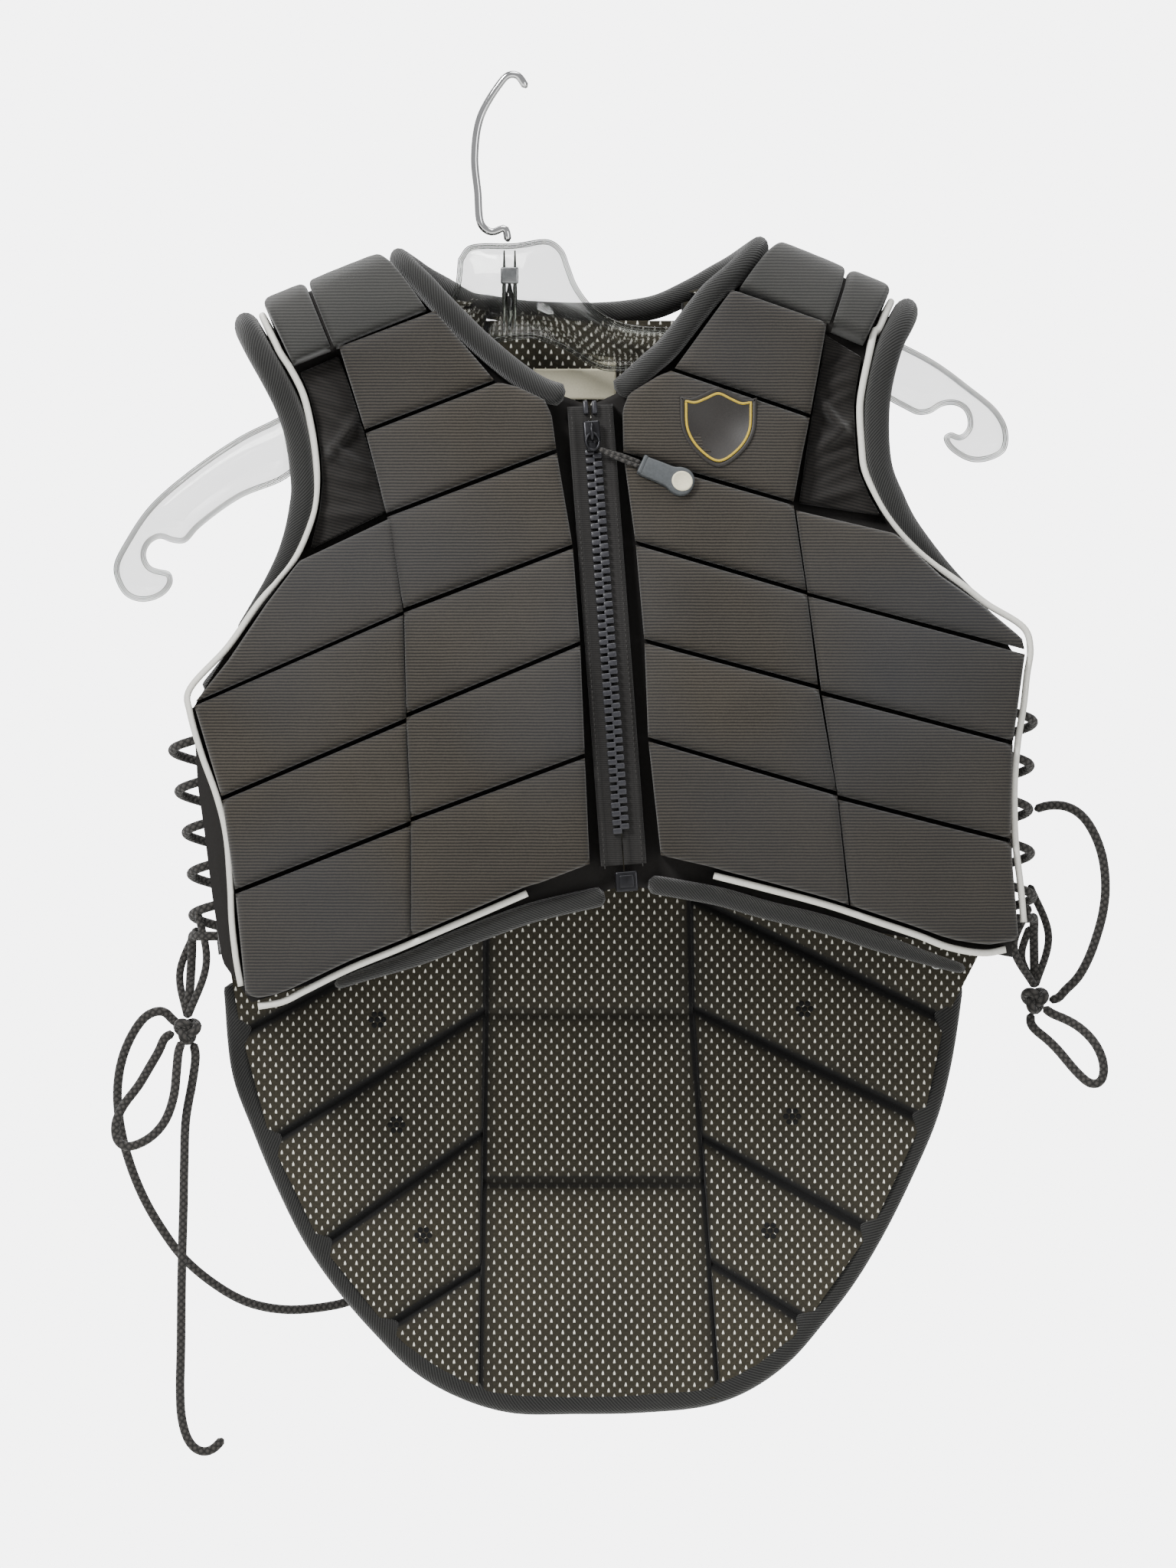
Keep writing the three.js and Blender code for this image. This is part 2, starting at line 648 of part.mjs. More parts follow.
function neckRoll() {
  const over = {};
  const front = {};
  ['right', 'left'].forEach((side) => {
    over[side] = strapKeys(side, 'neck');
    front[side] = faceKeys(NECK_FRONT[side].map(spot), FRONT);
  });
  const keys = [
    ...front.right, ...over.right.slice(1, -1), ...faceKeys(NECK_BACK.map(spot), BACK),
    ...over.left.slice(1, -1).reverse(), ...front.left.reverse(),
  ];
  return strip(keys, ovalSection(NECK_ROLL, -FOAM, -1, 6), 44);
}

function armRoll(side, extra = 0) {
  const keys = [
    ...faceKeys(ARM_FRONT[side].map(spot).reverse(), FRONT),
    ...strapKeys(side, 'arm').slice(1, -1),
    ...faceKeys(ARM_BACK[side].map(spot), BACK),
  ];
  const narrow = (share) => Math.min(1, 0.3 + share * 4);
  return strip(keys, ovalSection(ARM_ROLL + extra, -FOAM - extra / 2, -2 + extra / 2, 6), 30, narrow);
}

// Linings, one for each half of the front, with the strap that goes over the shoulder
function zipSpot(down, offset) {
  const share = (down - ZIP[0].down) / (ZIP[1].down - ZIP[0].down);
  const place = spot({ across: THREE.MathUtils.lerp(ZIP[0].across, ZIP[1].across, share), down });
  return { x: place.x + offset, z: place.z };
}

function resampled(points, steps) {
  return Array.from({ length: steps + 1 }, (_, i) => lineAt(points, i / steps));
}

function liningRows(side) {
  const offset = SIDE_SIGN[side] * GAP;
  const outerSide = SIDE_FRONT[side].map(spot);
  const corner = outerSide[outerSide.length - 1];
  const arm = [corner, ...ARM_FRONT[side].map(spot).reverse()];
  const zipLow = [zipSpot(0.556, offset), zipSpot(0.3, offset)];
  const neck = [zipSpot(0.3, offset), zipSpot(0.15, offset), ...NECK_FRONT[side].map(spot)];
  const outer = [...resampled(outerSide, 7), ...resampled(arm, 11).slice(1)];
  const inner = [...resampled(zipLow, 7), ...resampled(neck, 11).slice(1)];
  STRAP.slice(1).forEach((row) => {
    outer.push(strapSpot(side, row.arm * ARM_REACH[side] * SHOULDER_RADIUS, row.turn));
    inner.push(strapSpot(side, row.neck * SHOULDER_RADIUS, row.turn));
  });
  return outer.map((point, i) => [point, inner[i]]);
}

function lacingTab(side, face) {
  const { lean } = LACING[side];
  const out = SIDE_SIGN[side] * face * lean;
  const keys = faceKeys(LACING_EDGE[side].map(spot), face);
  const drop = 13;
  const half = LINING / 2;
  const root = LINING_TOP - 0.2;
  const foot = root - drop;
  return strip(keys, [[out + half, foot], [half, root], [-half, root], [out - half, foot]], 12);
}

function lacingCentre(side, share) {
  const lacing = LACING[side];
  const down = THREE.MathUtils.lerp(lacing.from, lacing.to, share);
  const edge = LACING_EDGE[side];
  let i = 1;
  while (i < edge.length - 1 && edge[i].down < down) {
    i += 1;
  }
  const local = (down - edge[i - 1].down) / (edge[i].down - edge[i - 1].down);
  const place = spot({ across: THREE.MathUtils.lerp(edge[i - 1].across, edge[i].across, local), down });
  return { x: place.x + SIDE_SIGN[side] * lacing.lean * 1.4, z: place.z };
}

// The spiral through both tabs, then down to the knot
function spiral(side) {
  const count = LACE_TURNS * 12;
  const turns = Array.from({ length: count + 7 }, (_, i) => {
    const angle = (i / 12) * 2 * Math.PI;
    const centre = lacingCentre(side, Math.min(1, i / count));
    return [
      centre.x - SIDE_SIGN[side] * LACE_REACH * Math.cos(angle),
      -LACE_REACH * Math.sin(angle),
      centre.z,
    ];
  });
  const [knot] = cordPoints([KNOTS[side]]);
  const last = turns[turns.length - 1];
  const mix = (share, depth) => [
    THREE.MathUtils.lerp(last[0], knot[0], share), depth, THREE.MathUtils.lerp(last[2], knot[2], share),
  ];
  const ends = fromKnot(side, [knot[0], knot[1] + 1, knot[2] + 4]).reverse();
  return [...turns, mix(0.2, 4), mix(0.42, 5), mix(0.6, knot[1] + 3), ...ends];
}

// Cords that hang free: across and down as above, depth as a share of the shoulder radius
const CORD_PLACE = ['across', 'down', 'depth'];
const KNOTS = {
  right: table(CORD_PLACE, [[-0.989, 0.68, -0.1]])[0],
  left: table(CORD_PLACE, [[1.057, 0.654, 0.05]])[0],
};
const CORDS = {
  bow_loop_right: table(CORD_PLACE, [
    [-1.01, 0.697, -0.25], [-1.014, 0.714, -0.37], [-1.02, 0.735, -0.4], [-1.04, 0.756, -0.45],
    [-1.07, 0.769, -0.5], [-1.102, 0.776, -0.5], [-1.134, 0.779, -0.5], [-1.156, 0.774, -0.45],
    [-1.162, 0.762, -0.4], [-1.152, 0.75, -0.35], [-1.135, 0.74, -0.3], [-1.108, 0.728, -0.25],
    [-1.081, 0.712, -0.16], [-1.055, 0.696, -0.1], [-1.03, 0.684, -0.05],
  ]),
  tail_end_right: table(CORD_PLACE, [
    [-0.974, 0.694, -0.05], [-0.975, 0.72, -0.12], [-0.992, 0.755, -0.25], [-0.996, 0.791, -0.25],
    [-0.998, 0.83, -0.25], [-1.001, 0.87, -0.25], [-1.003, 0.91, -0.25], [-1.004, 0.95, -0.25],
    [-1.006, 0.985, -0.25], [-1.002, 1.01, -0.25], [-0.984, 1.03, -0.25], [-0.958, 1.038, -0.25],
    [-0.93, 1.037, -0.25], [-0.902, 1.027, -0.25],
  ]),
  swag_right: table(CORD_PLACE, [
    [-1.015, 0.674, 0.02], [-1.045, 0.664, 0.05], [-1.085, 0.667, 0.1], [-1.12, 0.682, 0.15],
    [-1.148, 0.705, 0.2], [-1.16, 0.733, 0.3], [-1.152, 0.765, 0.4], [-1.13, 0.795, 0.5],
    [-1.096, 0.825, 0.65], [-1.052, 0.852, 0.8], [-1.002, 0.876, 1.0], [-0.93, 0.898, 1.2],
    [-0.852, 0.914, 1.45], [-0.765, 0.921, 1.7], [-0.68, 0.92, 1.9], [-0.6, 0.914, 1.92],
    [-0.53, 0.9, 1.93], [-0.485, 0.883, 1.88],
    [-0.455, 0.87, 1.81], [-0.45, 0.868, 1.75], [-0.45, 0.868, 1.675],
  ]),
  big_loop_left: table(CORD_PLACE, [
    [1.056, 0.4925, 0], [1.09, 0.489, 0.04], [1.135, 0.49, 0.08], [1.172, 0.498, 0.1], [1.202, 0.514, 0.12],
    [1.222, 0.535, 0.14], [1.228, 0.56, 0.15], [1.222, 0.58, 0.15], [1.207, 0.6, 0.14],
    [1.186, 0.62, 0.12], [1.158, 0.637, 0.1], [1.125, 0.648, 0.08], [1.095, 0.654, 0.06],
  ]),
  bow_loop_left: table(CORD_PLACE, [
    [1.092, 0.665, -0.1], [1.118, 0.669, -0.15], [1.148, 0.674, -0.2], [1.178, 0.682, -0.25],
    [1.202, 0.692, -0.3], [1.218, 0.704, -0.3], [1.222, 0.716, -0.3], [1.212, 0.725, -0.3],
    [1.192, 0.726, -0.3], [1.166, 0.719, -0.25], [1.14, 0.709, -0.2], [1.112, 0.697, -0.15],
    [1.083, 0.687, -0.1], [1.058, 0.68, -0.03], [1.045, 0.672, 0.02],
  ]),
};

// The knots that the two ends of a cord come out of
const CORD_ENDS = {
  bow_loop_right: ['right', 'right'],
  tail_end_right: ['right', null],
  swag_right: ['right', null],
  big_loop_left: [null, 'left'],
  bow_loop_left: ['left', 'left'],
};

// Hanger outline from the hub's middle, as shares of its span
const HANGER_PLACE = ['across', 'up'];
const HUB_TOP = table(HANGER_PLACE, [
  [-0.058, 0], [-0.047, 0.014], [0.004, 0.017], [0.043, 0.021], [0.058, 0.01], [0.066, -0.01],
]);
const HUB_LOW = table(HANGER_PLACE, [
  [0.104, -0.124], [0.061, -0.102], [0.03, -0.09], [0.013, -0.089], [-0.023, -0.095],
]);
const ARM_TOP = {
  right: table(HANGER_PLACE, [
    [-0.064, -0.039], [-0.091, -0.073], [-0.124, -0.099], [-0.192, -0.137], [-0.256, -0.175],
    [-0.3, -0.197], [-0.357, -0.236], [-0.399, -0.273], [-0.423, -0.307], [-0.439, -0.34],
  ]),
  left: table(HANGER_PLACE, [
    [0.074, -0.03], [0.093, -0.054], [0.125, -0.071], [0.177, -0.076], [0.24, -0.072],
    [0.307, -0.069], [0.35, -0.069], [0.384, -0.075], [0.409, -0.084], [0.437, -0.096],
    [0.472, -0.115], [0.506, -0.14], [0.539, -0.168], [0.552, -0.196],
  ]),
};
const SEAT_ROW = 8;
const HOOK_PATH = table(['across', 'up'], [
  [0, -1.012], [-0.023, -0.93], [-0.105, -0.951], [-0.166, -0.908], [-0.19, -0.699], [-0.209, -0.484],
  [-0.175, -0.243], [-0.066, -0.048], [0, 0.023], [0.057, 0.02], [0.114, -0.057],
]);

// The hook's foot stands on the middle of the hub's top
const HUB_CROWN = 2;
const HANGER_HUB = {
  x: HUB_SHIFT,
  z: HOOK_PATH[0].up * HOOK_HEIGHT - HOOK_SEAT - HUB_TOP[HUB_CROWN].up * HANGER_SPAN,
};

// The largest body that is left after the cuts
function cut(geometry, cutters) {
  const rest = cutters.reduce((body, cutter) => body.subtract(solid(cutter)), solid(geometry));
  const bodies = rest.simplify(0.04).decompose();
  return fromSolid(bodies.reduce((most, body) => (body.volume() > most.volume() ? body : most)));
}

function joined(first, second) {
  return fromSolid(solid(first).add(solid(second)));
}

const PIPING_SECTION = boxSection(-PIPING_WIDTH / 2, PIPING_WIDTH / 2, -FOAM, PIPING_TOP);
const PIPING_ROOM = boxSection(
  -PIPING_WIDTH / 2 - GAP, PIPING_WIDTH / 2 + GAP, -FOAM - GAP, PIPING_TOP + GAP);

function edgePipingKeys(side) {
  const over = strapKeys(side, 'piping').slice(1, -1).reverse();
  return [...over, ...faceKeys(PIPING[`edge_${side}`].map(spot), FRONT)];
}

function hemPipingKeys(side) {
  return faceKeys(PIPING[`hem_${side}`].map(spot), FRONT);
}

function hemRoll(side) {
  const keys = faceKeys(HEM[side].map(spot), FRONT).map((key) => ({ ...key, lift: -HEM_SEAT }));
  const toZip = (share) => Math.min(0.8, 0.4 + share);
  const toSide = (share) => Math.min(0.75, 1.6 - share * 1.2);
  const width = side === 'right' ? toZip : toSide;
  return strip(keys, ovalSection(HEM_ROLL, -FOAM, -7, 6), 16, width);
}

function tailKeys() {
  return faceKeys(TAIL.map(spot), BACK);
}

// Half width of the spine at a place down the back
function spineEdge(side, down) {
  let i = 1;
  while (i < SPINE.length - 1 && SPINE[i].down < down) {
    i += 1;
  }
  const local = (down - SPINE[i - 1].down) / (SPINE[i].down - SPINE[i - 1].down);
  return THREE.MathUtils.lerp(SPINE[i - 1][side], SPINE[i][side], local);
}

function backSpine() {
  const rows = [];
  const creased = [];
  const push = (down, crease) => {
    rows.push([
      spot({ across: spineEdge('right', down), down }),
      spot({ across: spineEdge('left', down), down }),
    ]);
    creased.push(crease);
  };
  SPINE.forEach((row, i) => {
    const inner = i > 0 && i < SPINE.length - 2;
    const reach = QUILT_HALF_WIDTH / VEST_LENGTH;
    if (inner) {
      push(row.down - reach, false);
    }
    push(row.down, inner);
    if (inner) {
      push(row.down + reach, false);
    }
  });
  const columns = [0, 0.05, 0.35, 0.65, 0.95, 1];
  const relief = (row, column) => {
    const rim = column === 0 || column === columns.length - 1 || row === 0 || row === rows.length - 2;
    const top = creased[row] ? -QUILT_DEPTH : 0;
    if (row === rows.length - 1) {
      return { high: TAIL_EDGE, low: LINING_LOW };
    }
    return { high: top - (rim ? PAD_ROUND : 0), low: LINING_LOW + (creased[row] ? QUILT_DEPTH - 1 : 0) };
  };
  return ruled(rows, columns, relief, BACK);
}

function backWing(side) {
  const sign = SIDE_SIGN[side];
  const rows = [];
  const kinds = [];
  const shift = (line, move) => line.map((point) => ({ x: point.x, z: point.z + move }));
  const startAt = (down) => {
    const place = spot({ across: spineEdge(side, down), down });
    return { x: place.x + sign * WING_GAP, z: place.z };
  };
  const top = WING_TOP[side].map(spot);
  rows.push([{ x: top[0].x + sign * WING_GAP, z: top[0].z }, ...top.slice(1)]);
  kinds.push('rim');
  WING_GROOVES[side].forEach((row, i) => {
    const line = [startAt(row.spineDown), spot({ across: row.edgeAcross, down: row.edgeDown })];
    const flap = i >= 2 && i <= 4;
    rows.push(shift(line, QUILT_HALF_WIDTH), line, shift(line, -QUILT_HALF_WIDTH));
    kinds.push(flap ? 'flap' : 'pad', flap ? 'flap_crease' : 'crease', flap ? 'flap' : 'pad');
  });
  const foot = WING_FOOT[side].map(spot);
  rows.push([{ x: foot[0].x + sign * WING_GAP, z: foot[0].z }, ...foot.slice(1)]);
  kinds.push('rim');
  const columns = [0, 0.05, 0.5, 0.87, 0.9, 1];
  const relief = (row, column) => {
    const crease = kinds[row].includes('crease');
    const flap = kinds[row].includes('flap');
    if (row === rows.length - 1) {
      return { high: TAIL_EDGE, low: LINING_LOW };
    }
    const depth = (crease ? QUILT_DEPTH : 0) + (column === 0 || kinds[row] === 'rim' ? PAD_ROUND : 0);
    if (column === columns.length - 1) {
      return { high: flap ? LINING_TOP : TAIL_EDGE, low: LINING_LOW };
    }
    if (column === columns.length - 2) {
      return { high: flap ? LINING_TOP : -3 - depth, low: LINING_LOW };
    }
    return { high: -depth, low: LINING_LOW + (crease ? QUILT_DEPTH - 1 : 0) };
  };
  return ruled(rows, columns, relief, BACK);
}

function zipBand(sign) {
  const keys = faceKeys([0.15, 0.25, 0.35, 0.45, 0.539].map((down) => zipSpot(down, 0)), FRONT);
  const from = GAP / 2 + 0.05;
  const wide = from + ZIP_BAND_WIDTH;
  const low = -FOAM;
  const flat = low + ZIP_BAND_HEIGHT;
  const section = [
    [wide, low], [wide, flat - 1.5], [from + ZIP_TEETH_WIDTH, flat + ZIP_TEETH_HEIGHT],
    [from, flat + ZIP_TEETH_HEIGHT], [from, low],
  ];
  return strip(keys, section.map(([across, height]) => [sign * across, height]), 14);
}

function plate(corner, size, low, high, face, count = 1) {
  const geometry = new THREE.BoxGeometry(1, 1, 1, count, count, 1);
  return reshape(geometry, (x, y, z) => onVest(
    { x: corner.x + x * size.width, z: corner.z + y * size.height }, z > 0 ? high : low, face));
}

function zipPuller() {
  const keys = [
    { across: 0.004, down: 0.187, lift: -4.5 }, { across: 0.03, down: 0.191, lift: -2.5 },
    { across: 0.059, down: 0.195, lift: 0.6 }, { across: 0.105, down: 0.201, lift: 0.6 },
    { across: 0.166, down: 0.21, lift: 0.6 }, { across: 0.227, down: 0.219, lift: 0.6 },
  ].map((key) => ({ ...spot(key), lift: key.lift, face: FRONT }));
  const width = (share) => (share < 0.44 ? PULL_CORD_SHARE : 1);
  const half = GRIP_WIDTH / 2;
  return strip(keys, boxSection(-half, half, 0.6, 0.6 + GRIP_THICKNESS), 16, width);
}

function badge() {
  const outline = [
    [-0.5, 0.38], [-0.36, 0.36], [-0.2, 0.42], [0, 0.5], [0.2, 0.42], [0.36, 0.36], [0.5, 0.38],
    [0.47, -0.05], [0.3, -0.32], [0, -0.5], [-0.3, -0.32], [-0.47, -0.05],
  ];
  const corners = outline.map(([x, z]) => new THREE.Vector2(x * BADGE_WIDTH, z * BADGE_HEIGHT));
  const shape = new THREE.Shape(corners);
  const geometry = new THREE.ExtrudeGeometry(shape, { depth: BADGE_THICKNESS, bevelEnabled: false });
  const middle = spot(BADGE_PLACE);
  return reshape(geometry, (x, y, z) => onVest({ x: middle.x + x, z: middle.z + y }, 0.7 + z, FRONT));
}

function neckLabel() {
  const [first, second] = LABEL_CORNERS.map(spot);
  const middle = { x: (first.x + second.x) / 2, z: (first.z + second.z) / 2 };
  const size = { width: Math.abs(second.x - first.x), height: Math.abs(second.z - first.z) };
  return plate(middle, size, LINING_LOW - 1.1, LINING_LOW - 0.3, BACK, 2);
}

function cordPoints(rows) {
  return rows.map((row) => {
    const place = spot(row);
    return [place.x, row.depth * SHOULDER_RADIUS, place.z];
  });
}

// A cord's first two points at a knot, straight out of it towards a point
function fromKnot(side, point) {
  const [middle] = cordPoints([KNOTS[side]]).map((place) => new THREE.Vector3(...place));
  const out = new THREE.Vector3(...point).sub(middle).normalize();
  return [0, LACE].map(
    (more) => middle.clone().addScaledVector(out, KNOT / 2 + KNOT_GAP + more).toArray());
}

// Front
['right', 'left'].forEach((side) => {
  const knees = {
    inner_1: { start: GROOVES[side].neckKnee },
    outer_a: { end: GROOVES[side].armKnee },
    outer_d: { bow: GROOVES[side].hemBow },
  };
  const inner = ['inner_1', 'inner_2', 'inner_3', 'inner_4', 'inner_5', 'inner_6'];
  padColumn(side, 'inner', inner, { inner_2: knees.inner_1 });
  padColumn(side, 'outer', ['outer_a', 'outer_b', 'outer_c', 'outer_d'], knees);
  shoulderBlocks(side);
  stretchInset(side);
});

// Trim
const pipingRoom = {};
['right', 'left'].forEach((side) => {
  add(vest, `piping_edge_${side}`, strip(edgePipingKeys(side), PIPING_SECTION, 44), WHITE_PIPING);
  add(vest, `piping_hem_${side}`, strip(hemPipingKeys(side), PIPING_SECTION, 12), WHITE_PIPING);
  pipingRoom[side] = [
    strip(edgePipingKeys(side), PIPING_ROOM, 44), strip(hemPipingKeys(side), PIPING_ROOM, 12),
  ];
  add(vest, `armhole_roll_${side}`, cut(armRoll(side), [pipingRoom[side][0]]), TWILL);
  add(vest, `hem_roll_${side}`, hemRoll(side), TWILL);
});
add(vest, 'neck_roll', neckRoll(), TWILL);
add(vest, 'tail_roll', strip(tailKeys(), ovalSection(TAIL_ROLL, -23, -10, 6), 44), TWILL);

// Linings, back and lacing
const backCutters = [
  strip(tailKeys(), ovalSection(TAIL_ROLL + 2 * GAP, -23 - GAP, -10 + GAP, 6), 44),
  ...['right', 'left'].map((side) => armRoll(side, 2 * GAP)),
];
['right', 'left'].forEach((side) => {
  const lace = tube(spiral(side), LACE + 2 * LACE_HOLE_GAP, 8, 56);
  const lining = ruled(
    liningRows(side), [0, 0.22, 0.44, 0.66, 0.88, 1], () => ({ high: LINING_TOP, low: LINING_LOW }), FRONT);
  add(vest, `front_lining_${side}`, cut(joined(lining, lacingTab(side, FRONT)), [lace]), LINING_MESH);
  const wing = joined(backWing(side), lacingTab(side, BACK));
  add(vest, `back_wing_${side}`, cut(wing, [lace, ...backCutters]), FABRIC);
  add(vest, `lace_${side}`, tube(spiral(side), LACE, 8, 56), CORD);
});
add(vest, 'back_spine', cut(backSpine(), [backCutters[0]]), FABRIC);

// Zip, badge and label
add(vest, 'zip_band_right', zipBand(1), ZIP_TAPE);
add(vest, 'zip_band_left', zipBand(-1), ZIP_TAPE);
const slider = zipSpot(0.173, 0);
const sliderSize = { width: SLIDER_WIDTH, height: SLIDER_HEIGHT };
add(vest, 'zip_slider', plate(slider, sliderSize, -6.5, -2, FRONT), DARK_METAL);
const zipFoot = spot(ZIP_BOX);
const zipBoxSize = { width: ZIP_BOX_WIDTH, height: ZIP_BOX_HEIGHT };
add(vest, 'zip_bottom_box', plate(zipFoot, zipBoxSize, -FOAM, -8, FRONT), DARK_METAL);
add(vest, 'zip_puller', zipPuller(), RUBBER);
add(vest, 'badge', badge(), CREAM);
add(vest, 'neck_label', neckLabel(), CREAM);

// Knots and free cords
['right', 'left'].forEach((side) => {
  const [point] = cordPoints([KNOTS[side]]);
  const ball = new THREE.IcosahedronGeometry(KNOT / 2, 1);
  ball.translate(...point);
  add(vest, `knot_${side}`, closed(ball), CORD);
});
Object.entries(CORDS).forEach(([name, rows]) => {
  const points = cordPoints(rows);
  const [first, last] = CORD_ENDS[name];
  if (first) {
    points.splice(0, 1, ...fromKnot(first, points[0]));
  }
  if (last) {
    points.splice(-1, 1, ...fromKnot(last, points[points.length - 1]).reverse());
  }
  add(vest, `cord_${name}`, tube(points, LACE, 8), CORD);
});

// Hanger
function hangerPoint(row) {
  return { x: HANGER_HUB.x + row.across * HANGER_SPAN, z: HANGER_HUB.z + row.up * HANGER_SPAN };
}

function armOutline(side) {
  const top = ARM_TOP[side].map(hangerPoint);
  const low = top.slice(side === 'left' ? 4 : 2).map((point, i, line) => {
    const next = line[Math.min(i + 1, line.length - 1)];
    const before = line[Math.max(i - 1, 0)];
    const length = Math.hypot(next.x - before.x, next.z - before.z);
    const fall = SIDE_SIGN[side] * ARM_HEIGHT;
    return {
      x: point.x + (fall * (next.z - before.z)) / length,
      z: point.z - (fall * (next.x - before.x)) / length,
    };
  });
  return { top, low };
}

function hangerBody() {
  const right = armOutline('right');
  const left = armOutline('left');
  const outline = [
    ...HUB_TOP.map(hangerPoint), ...left.top, ...left.low.reverse(),
    ...HUB_LOW.map(hangerPoint), ...right.low, ...right.top.reverse(),
  ];
  const shape = new THREE.Shape(outline.map((point) => new THREE.Vector2(point.x, point.z)));
  const geometry = new THREE.ExtrudeGeometry(shape, { depth: HANGER_THICKNESS, bevelEnabled: false });
  return reshape(geometry, (x, y, z) => new THREE.Vector3(x, z - HANGER_THICKNESS / 2, y));
}

const hookPoints = HOOK_PATH.map((row) => [row.across * HOOK_HEIGHT, 0, row.up * HOOK_HEIGHT]);
add(hanger, 'hanger_body', hangerBody(), CLEAR_PLASTIC);
add(hanger, 'hanger_hook', tube(hookPoints, HOOK_WIRE, 8, 30), CHROME);

// The left shoulder rests on the hanger
const seat = hangerPoint(ARM_TOP.left[SEAT_ROW]);
const seatRoll = ROLLS.left.point;
const ceiling = seatRoll.z - (seat.x - VEST_OFFSET - seatRoll.x) * Math.tan(SHOULDER_SLOPE)
  + (SHOULDER_RADIUS + LINING_LOW) / Math.cos(SHOULDER_SLOPE);
vest.position.set(VEST_OFFSET, 0, seat.z + SEAT_CLEARANCE - ceiling);

const model = new THREE.Group();
model.name = 'body_protector';
model.add(vest, hanger);

export default model;
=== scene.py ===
"""Looks of a rider's body protector with laced sides, on a moulded clothes hanger.

Everything is in metres, +Z up, -Y to the front, the wearer's right at -X. The soft pieces are drawn
on the vest's own pattern: x and z as seen from the front, and a height over the outer skin.
"""

import math

import bmesh
import bpy
import numpy as np
from mathutils import Matrix, Vector, noise


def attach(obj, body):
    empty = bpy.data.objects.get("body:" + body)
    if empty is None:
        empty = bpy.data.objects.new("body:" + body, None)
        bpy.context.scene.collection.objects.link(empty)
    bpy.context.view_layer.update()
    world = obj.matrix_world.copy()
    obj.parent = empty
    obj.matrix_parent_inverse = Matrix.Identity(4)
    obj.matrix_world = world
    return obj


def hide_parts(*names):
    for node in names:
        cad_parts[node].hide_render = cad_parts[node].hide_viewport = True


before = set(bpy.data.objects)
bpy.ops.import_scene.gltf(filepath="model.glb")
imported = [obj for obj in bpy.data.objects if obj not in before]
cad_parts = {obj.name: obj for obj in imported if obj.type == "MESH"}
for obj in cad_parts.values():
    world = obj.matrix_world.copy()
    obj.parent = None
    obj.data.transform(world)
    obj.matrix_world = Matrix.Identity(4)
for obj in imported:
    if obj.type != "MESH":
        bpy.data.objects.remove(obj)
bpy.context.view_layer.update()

MM = 0.001

# Vest sizes, as the solids have them
HALF_CHEST = 198 * MM
VEST_LENGTH = 562 * MM
FRONT_SWELL = 45 * MM
BACK_SWELL = 32 * MM
SHOULDER_RADIUS = 38 * MM
SHOULDER_SLOPE = math.radians(22)
CHEST_DROP = 210 * MM
FOAM = 19 * MM
LINING = 2.4 * MM
LINING_TOP = -FOAM - 0.9 * MM
LINING_LOW = LINING_TOP - LINING
GROOVE = 2.2 * MM
CHANNEL_LAP = 0.5 * MM
# How far the back runs on under the neck roll, as a share of the vest's length
NECK_LAP = 0.009
TAIL_EDGE = -13 * MM
LACE = 4.4 * MM
LACE_TURNS = 5
LACE_REACH = 11 * MM
KNOT = 13 * MM
KNOT_GAP = 0.3 * MM
VEST_X = 42.5 * MM
VEST_Z = -72.5 * MM
HOOK_HEIGHT = 77 * MM
HOOK_WIRE = 3.6 * MM
FRONT = -1
BACK = 1
SIGN = {"right": -1, "left": 1}
SIDES = ("right", "left")

# The camera sees the photo's frame. Small details are placed by its rows and its pixel at the origin.
PHOTO_ROWS = 2048
PHOTO_ORIGIN = (664, 103)
PHOTO_HIGH = 749.6 * MM
PHOTO_MIDDLE = (38.1 * MM, -337.1 * MM)
CAMERA_AWAY = 9.0
SENSOR = 36


def make_camera():
    data = bpy.data.cameras.new("camera")
    data.sensor_width = SENSOR
    data.lens = SENSOR * CAMERA_AWAY / PHOTO_HIGH
    data.clip_end = 60
    camera = bpy.data.objects.new("camera", data)
    camera.location = (PHOTO_MIDDLE[0], -CAMERA_AWAY, PHOTO_MIDDLE[1])
    camera.rotation_euler = (math.radians(90), 0, 0)
    bpy.context.scene.collection.objects.link(camera)
    bpy.context.scene.camera = camera


make_camera()


